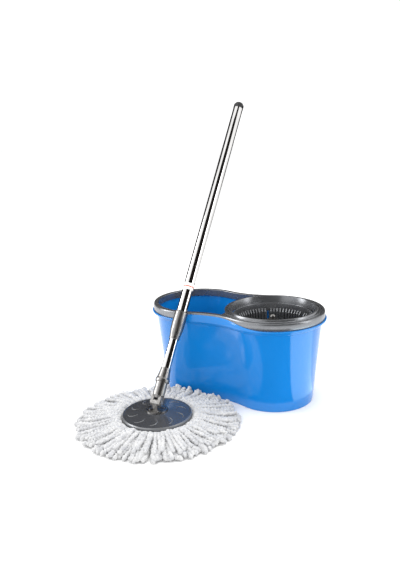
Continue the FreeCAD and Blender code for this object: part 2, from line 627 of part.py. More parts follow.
# ---------------------------------------------------------------- spin drive
def make_spin_drive():
    """Housing in the lower tube's top, clutch ring, cover and bush, the nut, and the rod."""
    place = on_handle()
    turned_piece("nut_housing", [("housing_hole", "housing_low"), ("spigot", "housing_low"),
                                 ("spigot", "lower_top"), ("lower_out", "lower_top"),
                                 ("lower_out", "housing_flange"), ("housing_in", "housing_flange"),
                                 ("housing_in", "housing_floor"), ("housing_hole", "housing_floor")],
                 place)
    fit_out = "housing_in - bush_gap"
    turned_piece("clutch_ring", ring_corners("cover_hole", fit_out, "housing_floor", "clutch_top"), place)
    turned_piece("nut_cover", [("cover_hole", "cover_low"), (fit_out, "cover_low"),
                               (fit_out, "cover_flange"), ("lower_out", "cover_flange"),
                               ("lower_out", "cover_top"), ("cover_hole", "cover_top")], place)
    turned_piece("guide_bush", ring_corners("housing_in", "bush_out", "housing_flange",
                                            "cover_flange"), place)

    blank = doc.addObject("Part::Cylinder", "NutBlank")
    blank.setExpression("Radius", bound("nut_out"))
    blank.setExpression("Height", bound("nut_top - nut_low"))
    blank.setExpression("Placement.Base.z", bound("nut_low"))
    slot = doc.addObject("Part::Feature", "NutSlot")
    gap = value("rod_gap")
    slot.Shape = twisted_bar(value("rod_width") + 2 * gap, value("rod_thick") + 2 * gap,
                             value("nut_low") - 2, value("nut_top") + 2)
    nut = doc.addObject("Part::Cut", "drive_nut")
    nut.Base = blank
    nut.Tool = slot
    sub_part(nut, "drive_nut", place)

    along = Rotation(Vector(0, 1, 0), 90).multVec(Vector(0, 0, 1))
    half = value("anchor_pin_half")
    pin_start = Vector(-half, 0, value("anchor_pin_z"))
    pin_shape = Part.makeCylinder(value("anchor_pin"), 2 * half, pin_start, along)
    rod = doc.addObject("Part::Feature", "twist_rod")
    bar = twisted_bar(value("rod_width"), value("rod_thick"), value("rod_low"), value("rod_top"))
    rod.Shape = bar.cut(pin_shape)
    sub_part(rod, "twist_rod", place)
    turned_piece("rod_stop", [("0", "stop_low"), ("stop_out", "stop_low"), ("stop_out", "rod_low"),
                              ("0", "rod_low")], place)
    anchor = new_body("rod_anchor")
    turn(anchor, [("anchor_hole", "anchor_low"), ("anchor_out", "anchor_low"),
                  ("anchor_out", "anchor_top"), ("0", "anchor_top"), ("0", "anchor_floor"),
                  ("anchor_hole", "anchor_floor")])
    bore = new_sketch(anchor, "PinBore", "YZ_Plane")
    add_circle(bore, "anchor_pin", "0", "anchor_pin_z")
    pocket(anchor, bore, "4 * anchor_out", symmetric=True)
    sub_part(anchor, "rod_anchor", place)
    pin = doc.addObject("Part::Cylinder", "anchor_pin_piece")
    pin.setExpression("Radius", bound("anchor_pin"))
    pin.setExpression("Height", bound("2 * anchor_pin_half"))
    sub_part(pin, "anchor_pin", place * Placement(pin_start, Rotation(Vector(0, 1, 0), 90)))


# ---------------------------------------------------------------- upper handle
def make_lock():
    """Split collet at the foot of the upper tube, the twist-lock sleeve and its seal."""
    place = on_handle()
    grip = "lower_out + grip_gap"
    tube = "upper_out + running_gap"
    collet = new_body("lock_collet")
    turn(collet, [(grip, "collet_low"), ("collet_tip", "collet_low"), ("collet_mid", "collet_mid_z"),
                  ("collet_out", "collet_step"), ("collet_out", "collet_top"), (tube, "collet_top"),
                  (tube, "upper_low"), (grip, "upper_low")])
    split = new_sketch(collet, "Split", "XY_Plane", "split_top")
    add_polygon(split, [("lower_out - 1", "-split_width / 2"), ("collet_out + 1", "-split_width / 2"),
                        ("collet_out + 1", "split_width / 2"), ("lower_out - 1", "split_width / 2")])
    repeat_round(collet, pocket(collet, split, "split_top - collet_low + 1"), "split_count")
    sub_part(collet, "lock_collet", place)
    bore = "collet_out + 0.15"
    turned_piece("lock_sleeve", [("lock_lip", "lock_low"), ("lock_tip", "lock_low"),
                                 ("lock_mid", "lock_mid_z"), ("lock_neck", "lock_neck_z"),
                                 ("lock_out", "lock_full_z"), ("lock_out", "lock_top"),
                                 ("upper_out + 0.1", "lock_top"), ("upper_out + 0.1", "collet_top + 2"),
                                 (bore, "collet_top + 2"), (bore, "collet_step - 0.4"),
                                 ("collet_mid + 0.4", "collet_mid_z"),
                                 ("collet_tip + 0.35", "lock_lip_z"), ("lock_lip", "lock_lip_z")], place)
    turned_piece("sleeve_seal", ring_corners("upper_out + 0.1", "seal_out", "lock_top", "seal_top"), place)


def make_upper_handle():
    """Upper tube, the light band round it, and the cap with its hanging hole."""
    place = on_handle()
    turned_piece("upper_tube", ring_corners("upper_in", "upper_out", "upper_low", "upper_top"), place)
    turned_piece("plain_band", ring_corners("upper_out", "band_out", "band_low", "band_top"), place)
    cap = new_body("end_cap")
    turn(cap, [("0", "plug_low"), ("plug_out", "plug_low"), ("plug_out", "upper_top"),
               ("cap_out", "upper_top"), ("cap_out", "cap_side_top"), ("dome_mid", "dome_mid_z"),
               ("dome_mid - 3", "cap_end"), ("0", "cap_end")])
    hole = new_sketch(cap, "HangingHole", "YZ_Plane")
    add_circle(hole, "hang_hole", "0", "hang_z")
    pocket(cap, hole, "4 * cap_out", symmetric=True)
    sub_part(cap, "end_cap", place)


# ---------------------------------------------------------------- build, check and write
make_bucket_shell()
make_rim_frame()
make_spindle()
make_basket()
make_basket_centre()
make_mop_head()
make_lug()
make_handle_foot()
make_spin_drive()
make_lock()
make_upper_handle()
doc.recompute()

failed = [item.Label for item in doc.Objects if {"Invalid", "Error"} & set(item.State)]
if failed:
    raise RuntimeError("failed objects: " + ", ".join(failed))
for piece in SUBPARTS:
    if piece.Shape.isNull() or not piece.Shape.isValid():
        raise RuntimeError(f"{piece.Label} has no valid shape")
whole = FreeCAD.BoundBox()
for piece in SUBPARTS:
    piece.Shape.exportStep(f"parts/{piece.Label}.step")
    whole.add(piece.Shape.BoundBox)
    print(f"{piece.Label}: {len(piece.Shape.Solids)} solid(s), {piece.Shape.Volume / 1000:.2f} cm3")
print(f"{len(SUBPARTS)} sub-parts, box {whole}")
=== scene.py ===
"""Looks of a spin mop: a two-lobed wringing bucket and a string mop with a leaning handle.

Metres, +Z up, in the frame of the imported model. Each sub-assembly is a class that builds its
meshes and gives them their finishes; the studio stands round them at the end.
"""
import json
import logging
import math
from collections.abc import Callable, Sequence
from dataclasses import dataclass, field
from enum import Enum
from functools import cache

import bmesh
import bpy
import numpy as np
from mathutils import Matrix, Vector


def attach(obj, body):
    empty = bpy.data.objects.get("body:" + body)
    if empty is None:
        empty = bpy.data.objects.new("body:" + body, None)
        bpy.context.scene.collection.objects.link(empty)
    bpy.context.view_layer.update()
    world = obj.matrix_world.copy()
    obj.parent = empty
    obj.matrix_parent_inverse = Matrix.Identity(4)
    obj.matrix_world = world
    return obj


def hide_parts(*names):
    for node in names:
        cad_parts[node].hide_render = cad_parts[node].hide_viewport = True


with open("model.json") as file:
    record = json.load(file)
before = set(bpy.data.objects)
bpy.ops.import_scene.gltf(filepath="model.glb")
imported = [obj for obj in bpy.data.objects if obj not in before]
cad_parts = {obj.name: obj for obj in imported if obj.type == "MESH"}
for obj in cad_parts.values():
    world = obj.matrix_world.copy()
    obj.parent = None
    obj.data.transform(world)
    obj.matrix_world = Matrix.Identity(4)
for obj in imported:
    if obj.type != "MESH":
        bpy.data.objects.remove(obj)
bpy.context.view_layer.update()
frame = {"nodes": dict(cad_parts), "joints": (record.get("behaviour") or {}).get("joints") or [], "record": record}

LOG = logging.getLogger("spin_mop")
MM = 0.001
FULL_TURN = 2 * math.pi
WELD = 1e-7
TINY = 1e-9
NEARLY_HALF = 0.49
NOISE_SPAN = (0.3, 0.7)

Profile = list[tuple[float, float]]
Colour = tuple[float, float, float]
Socket = bpy.types.NodeSocket


class Body(Enum):
    """Bodies of the part that a piece may ride on."""

    BUCKET = "bucket"
    BASKET = "wringing_basket"
    YARN = "yarn_head"
    PLATE = "plate_body"
    LOWER = "lower_handle"
    UPPER = "upper_handle"
    LOCK = "lock_body"


class Slot(Enum):
    """Material slots of the record that a piece takes its finish from."""

    BLUE = "blue_plastic"
    SILVER = "silver_plastic"
    DARK = "dark_plastic"
    BLACK = "black_plastic"
    YARN = "white_yarn"
    POLISHED = "polished_steel"
    STEEL = "plain_steel"
    BRASS = "bearing_brass"
    NYLON = "white_nylon"
    BAND = "light_band"


class Sink(Enum):
    """Principled inputs that a shared effect may feed."""

    COLOUR = "Base Color"
    ROUGHNESS = "Roughness"


# ------------------------------------------------------------------ shared shader effects
class Wires:
    """Short ways to place and join the nodes of one tree."""

    def __init__(self, tree: bpy.types.NodeTree) -> None:
        """Keep the tree."""
        self.tree = tree

    def give(self, sink: Socket, value: float | Colour | Socket) -> None:
        """Join a socket to an input, or set the input to a number or a colour."""
        if isinstance(value, Socket):
            self.tree.links.new(value, sink)
        else:
            sink.default_value = (*value, 1.0) if isinstance(value, tuple) else value

    def node(self, kind: str, **inputs: float | Socket) -> bpy.types.Node:
        """Place a node.

        Args:
            kind: Its type's name after ShaderNode.
            inputs: Input names, with underscores for spaces, and their values or sockets.

        Returns:
            The node.
        """
        node = self.tree.nodes.new("ShaderNode" + kind)
        for label, value in inputs.items():
            self.give(node.inputs[label.replace("_", " ")], value)
        return node

    def noise(self, scale: float | Socket, detail: float, roughness: float = 0.5) -> Socket:
        """Place a noise over the object's own coordinates and return its value."""
        place = self.node("TexCoord").outputs["Object"]
        return self.node("TexNoise", Vector=place, Scale=scale, Detail=detail,
                         Roughness=roughness).outputs["Fac"]

    def ramp(self, value: Socket, low: float, high: float) -> Socket:
        """Stretch a value so that low becomes 0 and high becomes 1."""
        return self.node("MapRange", Value=value, From_Min=low, From_Max=high).outputs["Result"]

    def multiply(self, *values: Socket) -> Socket:
        """Multiply values.

        Args:
            values: Their sockets.

        Returns:
            The product's socket.
        """
        product = values[0]
        for value in values[1:]:
            node = self.node("Math")
            node.operation = "MULTIPLY"
            self.give(node.inputs[0], product)
            self.give(node.inputs[1], value)
            product = node.outputs["Value"]
        return product

    def upright(self, lean: float | Socket) -> Socket:
        """Turn the object's coordinates about X.

        Args:
            lean: The angle.

        Returns:
            The turned coordinates' socket.
        """
        turn = self.node("VectorRotate", Vector=self.node("TexCoord").outputs["Object"])
        turn.rotation_type = "X_AXIS"
        self.give(turn.inputs["Angle"], lean)
        return turn.outputs["Vector"]


class NodeGroups:
    """Shader node groups that several finishes share, each built once."""

    @staticmethod
    def _start(name: str, inputs: dict[str, float], *outputs: str) -> tuple:
        """Start a group with float inputs and outputs.

        Args:
            name: The group's name.
            inputs: Input names and their defaults.
            outputs: Output names.

        Returns:
            Its wires, what it is given and what it puts out.
        """
        tree = bpy.data.node_groups.new(name, "ShaderNodeTree")
        for label, default in inputs.items():
            socket = tree.interface.new_socket(label, in_out="INPUT", socket_type="NodeSocketFloat")
            socket.default_value = default
        for label in outputs:
            tree.interface.new_socket(label, in_out="OUTPUT", socket_type="NodeSocketFloat")
        return (Wires(tree), tree.nodes.new("NodeGroupInput").outputs,
                tree.nodes.new("NodeGroupOutput").inputs)

    @staticmethod
    @cache
    def grain() -> bpy.types.NodeTree:
        """Fine moulded or cast grain over slow unevenness.

        Returns:
            A group with inputs Scale and Slow Scale and outputs Height and Patch.
        """
        wires, given, result = NodeGroups._start("FineGrain", {"Scale": 900.0, "Slow Scale": 9.0},
                                                 "Height", "Patch")
        wires.give(result["Height"], wires.noise(given["Scale"], 3.0))
        wires.give(result["Patch"], wires.noise(given["Slow Scale"], 4.0))
        return wires.tree

    @staticmethod
    @cache
    def edge_wear() -> bpy.types.NodeTree:
        """Rubbed convex edges, broken up by noise.

        Returns:
            A group with inputs Amount and Break Scale and the output Mask.
        """
        wires, given, result = NodeGroups._start("EdgeWear", {"Amount": 0.5, "Break Scale": 160.0}, "Mask")
        edge = wires.ramp(wires.node("NewGeometry").outputs["Pointiness"], 0.52, 0.62)
        broken = wires.ramp(wires.noise(given["Break Scale"], 5.0), 0.42, 0.62)
        wires.give(result["Mask"], wires.multiply(edge, broken, given["Amount"]))
        return wires.tree

    @staticmethod
    @cache
    def flakes() -> bpy.types.NodeTree:
        """Small metallic flakes in a silver paint or plastic.

        Returns:
            A group with the input Scale and the output Sparkle.
        """
        wires, given, result = NodeGroups._start("MetalFlakes", {"Scale": 1600.0}, "Sparkle")
        cells = wires.node("TexVoronoi", Vector=wires.node("TexCoord").outputs["Object"],
                           Scale=given["Scale"])
        wires.give(result["Sparkle"], cells.outputs["Color"])
        return wires.tree

    @staticmethod
    @cache
    def dust() -> bpy.types.NodeTree:
        """Thin dust and lint on faces that look up.

        Returns:
            A group with inputs Amount and Scale and the output Mask.
        """
        wires, given, result = NodeGroups._start("SettledDust", {"Amount": 0.1, "Scale": 60.0}, "Mask")
        split = wires.node("SeparateXYZ", Vector=wires.node("NewGeometry").outputs["Normal"])
        upward = wires.ramp(split.outputs["Z"], 0.35, 1.0)
        wires.give(result["Mask"], wires.multiply(upward, wires.noise(given["Scale"], 8.0, 0.7),
                                                  given["Amount"]))
        return wires.tree

    @staticmethod
    @cache
    def polish_lines() -> bpy.types.NodeTree:
        """Hairlines that run along one direction of the object.

        Returns:
            A group with inputs Lean, Across and Along and the output Lines.
        """
        sizes = {"Lean": 0.0, "Across": 700.0, "Along": 6.0}
        wires, given, result = NodeGroups._start("PolishLines", sizes, "Lines")
        scales = wires.node("CombineXYZ", X=given["Across"], Y=given["Across"], Z=given["Along"])
        stretch = wires.node("VectorMath")
        stretch.operation = "MULTIPLY"
        wires.give(stretch.inputs[0], wires.upright(given["Lean"]))
        wires.give(stretch.inputs[1], scales.outputs["Vector"])
        noise = wires.node("TexNoise", Vector=stretch.outputs["Vector"], Scale=1.0, Detail=2.0)
        wires.give(result["Lines"], noise.outputs["Fac"])
        return wires.tree


class MaterialSheet(Wires):
    """A new material with its Principled shader, and short ways to wire it."""

    def __init__(self, name: str) -> None:
        """Start the material under a name."""
        self.material = bpy.data.materials.new(name)
        self.material.use_nodes = True
        super().__init__(self.material.node_tree)
        self.shader = self.tree.nodes["Principled BSDF"]

    def settle(self, **values: float | Colour) -> None:
        """Set constants on the shader's own sockets, named with underscores for spaces."""
        for label, amount in values.items():
            self.give(self.shader.inputs[label.replace("_", " ")], amount)

    def group(self, tree: bpy.types.NodeTree, **values: float) -> bpy.types.bpy_prop_collection:
        """Place a shared effect with its own values and return its outputs.

        Args:
            tree: The group to place.
            values: Input names, with underscores for spaces, and their values.

        Returns:
            The group's outputs.
        """
        node = self.node("Group")
        node.node_tree = tree
        for label, amount in values.items():
            self.give(node.inputs[label.replace("_", " ")], amount)
        return node.outputs

    def mix(self, mask: Socket, low: Colour | Socket, high: Colour) -> Socket:
        """Mix two colours by a mask.

        Args:
            mask: What drives the mix, 0 to 1.
            low: The colour at 0, or the socket of one.
            high: The colour at 1.

        Returns:
            The mixed colour's socket.
        """
        node = self.node("Mix")
        node.data_type = "RGBA"
        for label, value in (("Factor", mask), ("A", low), ("B", high)):
            self.give(node.inputs[label], value)
        return node.outputs["Result"]

    def span(self, value: Socket, low: float, high: float) -> Socket:
        """Spread a noise value, which mostly keeps within NOISE_SPAN, between two numbers."""
        return self.node("MapRange", Value=value, From_Min=NOISE_SPAN[0], From_Max=NOISE_SPAN[1],
                         To_Min=low, To_Max=high).outputs["Result"]

    def patchy(self, patch: Socket, low: Colour, high: Colour) -> Socket:
        """Mix two colours over the whole spread of a slow noise."""
        return self.mix(self.span(patch, 0.0, 1.0), low, high)

    def feed(self, socket: Socket, sink: Sink) -> None:
        """Feed a varying value or colour to one of the shader's inputs."""
        self.give(self.shader.inputs[sink.value], socket)

    def bump(self, height: Socket, distance: float, strength: float = 1.0) -> None:
        """Bend the shader's normal by a height.

        Args:
            height: The height's socket.
            distance: How far, in metres, a height of 1 stands out.
            strength: How much of the effect shows.
        """
        node = self.node("Bump", Height=height, Distance=distance, Strength=strength)
        self.give(self.shader.inputs["Normal"], node.outputs["Normal"])


# ------------------------------------------------------------------ finishes
@dataclass(frozen=True)
class Plastic:
    """A moulded plastic, glossy or matt, plain or filled with metallic flakes."""

    name: str
    colour: Colour
    worn: Colour
    roughness: float
    grain_height: float = 0.02 * MM
    metallic: float = 0.0
    coat: float = 0.0
    wear: float = 0.5
    dust: float = 0.06
    flakes: bool = False
    lint: Colour = (0.62, 0.62, 0.60)

    def material(self) -> bpy.types.Material:
        """Make the finish's material."""
        sheet = MaterialSheet(self.name)
        sheet.settle(Metallic=self.metallic, Coat_Weight=self.coat, Coat_Roughness=0.08)
        grain = sheet.group(NodeGroups.grain())
        dark = tuple(0.93 * part for part in self.colour)
        colour = sheet.patchy(grain["Patch"], dark, self.colour)
        if self.flakes:
            light = tuple(min(1.0, 1.35 * part) for part in self.colour)
            sparkle = sheet.group(NodeGroups.flakes())["Sparkle"]
            colour = sheet.mix(sheet.span(sparkle, -0.15, 0.45), colour, light)
        wear = sheet.group(NodeGroups.edge_wear(), Amount=self.wear)["Mask"]
        dust = sheet.group(NodeGroups.dust(), Amount=self.dust)["Mask"]
        sheet.feed(sheet.mix(dust, sheet.mix(wear, colour, self.worn), self.lint), Sink.COLOUR)
        sheet.feed(sheet.span(grain["Patch"], 0.88 * self.roughness, 1.15 * self.roughness), Sink.ROUGHNESS)
        sheet.bump(grain["Height"], self.grain_height)
        return sheet.material


@dataclass(frozen=True)
class Metal:
    """A solid metal, polished or machined, with hairlines along its length. A dark tint at grazing angles paints
    shade on its reflections towards its outline.
    """

    name: str
    colour: Colour
    roughness: float
    lean: float = 0.0
    line_height: float = 0.004 * MM
    grazing_shade_tint: Colour = (1.0, 1.0, 1.0)
    rubbed: Colour = (0.9, 0.9, 0.9)

    def material(self) -> bpy.types.Material:
        """Make the finish's material."""
        sheet = MaterialSheet(self.name)
        # Painted shade: a dark specular tint darkens the reflections at grazing angles, which draws dark outlines
        # on the metal.
        sheet.settle(Metallic=1.0, Specular_Tint=self.grazing_shade_tint)
        lines = sheet.group(NodeGroups.polish_lines(), Lean=self.lean)["Lines"]
        grain = sheet.group(NodeGroups.grain(), Slow_Scale=14.0)
        dull = tuple(0.9 * part for part in self.colour)
        colour = sheet.patchy(grain["Patch"], dull, self.colour)
        wear = sheet.group(NodeGroups.edge_wear(), Amount=0.3)["Mask"]
        sheet.feed(sheet.mix(wear, colour, self.rubbed), Sink.COLOUR)
        sheet.feed(sheet.span(lines, 0.8 * self.roughness, 1.3 * self.roughness), Sink.ROUGHNESS)
        sheet.bump(lines, self.line_height)
        return sheet.material


@dataclass(frozen=True)
class Yarn:
    """Looped microfibre yarn: matt and soft, with darker noise patches of painted shade that stand in for the
    shade between its lumps.
    """

    name: str
    colour: Colour
    painted_shade: Colour

    def material(self) -> bpy.types.Material:
        """Make the finish's material."""
        sheet = MaterialSheet(self.name)
        sheet.settle(Roughness=0.95, Sheen_Weight=0.35, Sheen_Roughness=0.5)
        shade_and_tufts = sheet.group(NodeGroups.grain(), Scale=520.0, Slow_Scale=70.0)
        # Painted shade: slow noise patches mix in the darker colour, standing in for the shade between the yarn's
        # lumps.
        sheet.feed(sheet.patchy(shade_and_tufts["Patch"], self.painted_shade, self.colour), Sink.COLOUR)
        sheet.bump(shade_and_tufts["Height"], 1.2 * MM, 0.9)
        return sheet.material


@dataclass(frozen=True)
class BandFilm:
    """A light film with one thin coloured line round its middle."""

    name: str
    lean: float
    middle: float
    half_line: float
    film: tuple[Colour, Colour] = ((0.80, 0.79, 0.76), (0.88, 0.87, 0.85))
    line: Colour = (0.62, 0.10, 0.06)

    def material(self) -> bpy.types.Material:
        """Make the finish's material."""
        sheet = MaterialSheet(self.name)
        sheet.settle(Roughness=0.3, Coat_Weight=0.4)
        split = sheet.node("SeparateXYZ", Vector=sheet.upright(self.lean))
        near = sheet.node("Math")
        near.operation = "COMPARE"
        for sink, value in zip(near.inputs, (split.outputs["Z"], self.middle, self.half_line)):
            sheet.give(sink, value)
        grain = sheet.group(NodeGroups.grain(), Slow_Scale=40.0)
        white = sheet.patchy(grain["Patch"], *self.film)
        sheet.feed(sheet.mix(near.outputs["Value"], white, self.line), Sink.COLOUR)
        sheet.bump(grain["Height"], 0.01 * MM)
        return sheet.material


# ------------------------------------------------------------------ mesh helpers
@dataclass
class Shape:
    """Vertices and faces of one piece while it is being built."""

    points: list[np.ndarray] = field(default_factory=list)
    faces: list[tuple[int, ...]] = field(default_factory=list)
    count: int = 0

    def loft(self, rings: Sequence[np.ndarray], closed: bool = False) -> None:
        """Add a shell through rings of points.

        Args:
            rings: The points of each ring, as many in each.
            closed: Whether the last ring joins the first; if not, both ends are filled flat.
        """
        rows, columns = len(rings), len(rings[0])
        faces: list[tuple[int, ...]] = []
        for row in range(rows if closed else rows - 1):
            after = (row + 1) % rows
            for column in range(columns):
                beside = (column + 1) % columns
                faces.append((row * columns + column, row * columns + beside,
                              after * columns + beside, after * columns + column))
        if not closed:
            faces += [tuple(range(columns)), tuple(range((rows - 1) * columns, rows * columns))]
        self.points.append(np.asarray(rings, dtype=float).reshape(-1, 3))
        self.faces.extend(tuple(index + self.count for index in face) for face in faces)
        self.count += rows * columns

    def mesh(self, name: str) -> bpy.types.Mesh:
        """Turn the shape into a mesh whose faces all look outward."""
        data = bpy.data.meshes.new(name)
        data.from_pydata(np.concatenate(self.points).tolist(), [], self.faces)
        work = bmesh.new()
        work.from_mesh(data)
        bmesh.ops.remove_doubles(work, verts=work.verts, dist=WELD)
        bmesh.ops.recalc_face_normals(work, faces=work.faces)
        work.to_mesh(data)
        work.free()
        return data


@dataclass(frozen=True)
class Axis:
    """Where a round piece stands and which way its axis runs."""

    origin: Vector
    along: Vector

    def points(self, radius: np.ndarray | float, angle: np.ndarray,
               height: np.ndarray | float) -> np.ndarray:
        """Place points given round the axis.

        Args:
            radius: Distances from the axis, or one for all.
            angle: Angles about it, from the model's +X.
            height: Distances along it from the origin, or one for all.

        Returns:
            The points, one row each.
        """
        side = Vector((1, 0, 0))
        other = self.along.cross(side)
        return (np.array(self.origin) + np.multiply.outer(radius * np.cos(angle), np.array(side))
                + np.multiply.outer(radius * np.sin(angle), np.array(other))
                + np.multiply.outer(height, np.array(self.along)))


def rounded(corners: Sequence[tuple[float, float, float]], steps: int = 5) -> Profile:
    """Round the corners of a closed profile.

    Args:
        corners: Corner points, each with the radius of its rounding.
        steps: How many segments each rounding has.

    Returns:
        The profile's points.
    """
    out: Profile = []
    count = len(corners)
    for index, (across, up, radius) in enumerate(corners):
        here = Vector((across, up))
        before = Vector(corners[index - 1][:2]) - here
        after = Vector(corners[(index + 1) % count][:2]) - here
        if radius <= 0 or before.length < TINY or after.length < TINY:
            out.append((across, up))
            continue
        half = before.angle(after, math.pi) / 2
        reach = min(radius / math.tan(half), NEARLY_HALF * before.length, NEARLY_HALF * after.length)
        start = here + before.normalized() * reach
        end = here + after.normalized() * reach
        for step in range(steps + 1):
            part = step / steps
            curve = start.lerp(here, part).lerp(here.lerp(end, part), part)
            out.append((curve.x, curve.y))
    return out


def steps_off(base: Sequence, *steps: Sequence[float]) -> list[tuple]:
    """List points that stand off a base.

    Args:
        base: The base, in metres; a number in it may be an array over the stations.
        steps: How far each point stands off it, in millimetres, number by number.

    Returns:
        The points, in metres.
    """
    return [tuple(start + step * MM for start, step in zip(base, row)) for row in steps]


def towards_middle(edge: np.ndarray) -> np.ndarray:
    """Return the unit directions from an edge's points to their middle."""
    towards = edge.mean(axis=0) - edge
    return towards / np.linalg.norm(towards, axis=1)[:, None]


def lathe(shape: Shape, profile: Profile, axis: Axis, segments: int = 96) -> None:
    """Turn a closed profile of (radius, height) about an axis and add it to a shape.

    Args:
        shape: The shape to add to.
        profile: The profile; where it touches the axis its radius is 0.
        axis: The axis that it turns about.
        segments: How many segments the turn has.
    """
    angle = np.linspace(0, FULL_TURN, segments, endpoint=False)
    shape.loft([axis.points(max(radius, 0.0), angle, height) for radius, height in profile], closed=True)


def tube_along(shape: Shape, line: np.ndarray, radii: np.ndarray, sides: int) -> None:
    """Add a closed tube that follows a line of points.

    Args:
        shape: The shape to add to.
        line: The middle line's points.
        radii: The radius at each point, or a row of them, one for each side.
        sides: How many sides the tube has.
    """
    ahead = np.gradient(line, axis=0)
    ahead /= np.linalg.norm(ahead, axis=1)[:, None]
    side = np.cross(ahead, (0.0, 0.0, 1.0))
    side /= np.maximum(np.linalg.norm(side, axis=1)[:, None], TINY)
    top = np.cross(side, ahead)
    angle = np.linspace(0, FULL_TURN, sides, endpoint=False)
    ring = (side[:, None, :] * np.cos(angle)[None, :, None]
            + top[:, None, :] * np.sin(angle)[None, :, None])
    shape.loft(line[:, None, :] + ring * np.reshape(radii, (len(line), -1, 1)))


def show(name: str, shape: Shape, finish: bpy.types.Material, body: Body, node: str,
         sharp: float) -> bpy.types.Object:
    """Put a finished shape in the scene on its body.

    Args:
        name: The piece's name.
        shape: Its shape.
        finish: Its material.
        body: The body that it rides on.
        node: The node that it stands for.
        sharp: Edges that turn more than this, in degrees, stay crisp.

    Returns:
        The new object.
    """
    mesh = shape.mesh(name)
    piece = bpy.data.objects.new(name, mesh)
    bpy.context.scene.collection.objects.link(piece)
    mesh.materials.append(finish)
    mesh.shade_smooth()
    mesh.set_sharp_from_angle(angle=math.radians(sharp))
    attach(piece, body.value)
    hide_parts(node)
    LOG.info("%s on %s: %d faces", name, body.value, len(mesh.polygons))
    return piece


def dress(finish: bpy.types.Material, *nodes: str) -> None:
    """Give nodes of the frame a finish.

    Args:
        finish: The material.
        nodes: The nodes' names.
    """
    for node in nodes:
        mesh = frame["nodes"][node].data
        mesh.materials.clear()
        mesh.materials.append(finish)
        LOG.info("%s dressed in %s", node, finish.name)


# ------------------------------------------------------------------ places taken from the frame
def joint(name: str) -> dict:
    """Return a joint of the frame by its name."""
    return next(item for item in frame["joints"] if item["name"] == name)


def upright_axis(place: Vector) -> Axis:
    """Return the upright axis over a place, from the floor."""
    return Axis(Vector((place.x, place.y, 0)), Vector((0, 0, 1)))


def handle_axis() -> Axis:
    """Return the handle's axis, from the hinge up the handle."""
    along = Vector(joint("handle_press")["axis"]).normalized()
    return Axis(Vector(joint("handle_tilt")["pos_m"]), along)


def lean_of(axis: Axis) -> float:
    """Return the turn about X that stands an axis upright."""
    return math.atan2(axis.along.y, axis.along.z)


def ease(value: np.ndarray | float, start: float, end: float) -> np.ndarray | float:
    """Ease from 0 at start to 1 at end."""
    part = np.clip((value - start) / (end - start), 0.0, 1.0)
    return part * part * (3 - 2 * part)


# ------------------------------------------------------------------ bucket
@dataclass(frozen=True)
class LobeOutline:
    """The bucket's outline at its rim: two round lobes and a pulled-in waist, all tangent arcs."""

    centre: Vector
    gap: float = 202 * MM
    basket_lobe: float = 125 * MM
    water_lobe: float = 117 * MM
    waist: float = 185 * MM
    count: int = 384

    def stations(self) -> tuple[np.ndarray, np.ndarray]:
        """Walk round the outline.

        Returns:
            Points from the basket lobe's centre, and the outward normal at each.
        """
        near, far = self.basket_lobe + self.waist, self.water_lobe + self.waist
        across = (far ** 2 - near ** 2 - self.gap ** 2) / (2 * self.gap)
        side = math.sqrt(near ** 2 - across ** 2)
        turn = math.atan2(side, across)
        turn_far = math.atan2(side, across + self.gap)
        arcs = (
            (0.0, 0.0, self.basket_lobe, -turn, turn),
            (across, side, -self.waist, turn + math.pi, turn_far + math.pi),
            (-self.gap, 0.0, self.water_lobe, turn_far, FULL_TURN - turn_far),
            (across, -side, -self.waist, math.pi - turn_far, math.pi - turn),
        )
        whole = sum(abs(radius * (end - start)) for _, _, radius, start, end in arcs)
        points, normals = [], []
        for middle_x, middle_y, radius, start, end in arcs:
            steps = max(8, round(self.count * abs(radius * (end - start)) / whole))
            angle = np.linspace(start, end, steps, endpoint=False)
            ray = np.stack([np.cos(angle), np.sin(angle)], axis=1)
            points.append(np.array([middle_x, middle_y]) + abs(radius) * ray)
            normals.append(ray * math.copysign(1, radius))
        return np.concatenate(points), np.concatenate(normals)

    def sweep(self, shape: Shape, rows: Callable[[np.ndarray], list[tuple]], closed: bool) -> None:
        """Sweep a section round the outline and add it to a shape.

        Args:
            shape: The shape to add to.
            rows: Gives the section's points for the stations' places along X. Each point is an
                inset from the outline and a height; either may differ from station to station.
            closed: Whether the section closes on itself; if not, its two ends are filled flat.
        """
        points, normals = self.stations()
        rings = []
        for inset, height in rows(points[:, 0]):
            flat = points - normals * np.broadcast_to(inset, len(points))[:, None]
            tall = np.broadcast_to(height, len(points))
            rings.append(np.column_stack([flat + self.centre.xy, tall]))
        shape.loft(rings, closed)


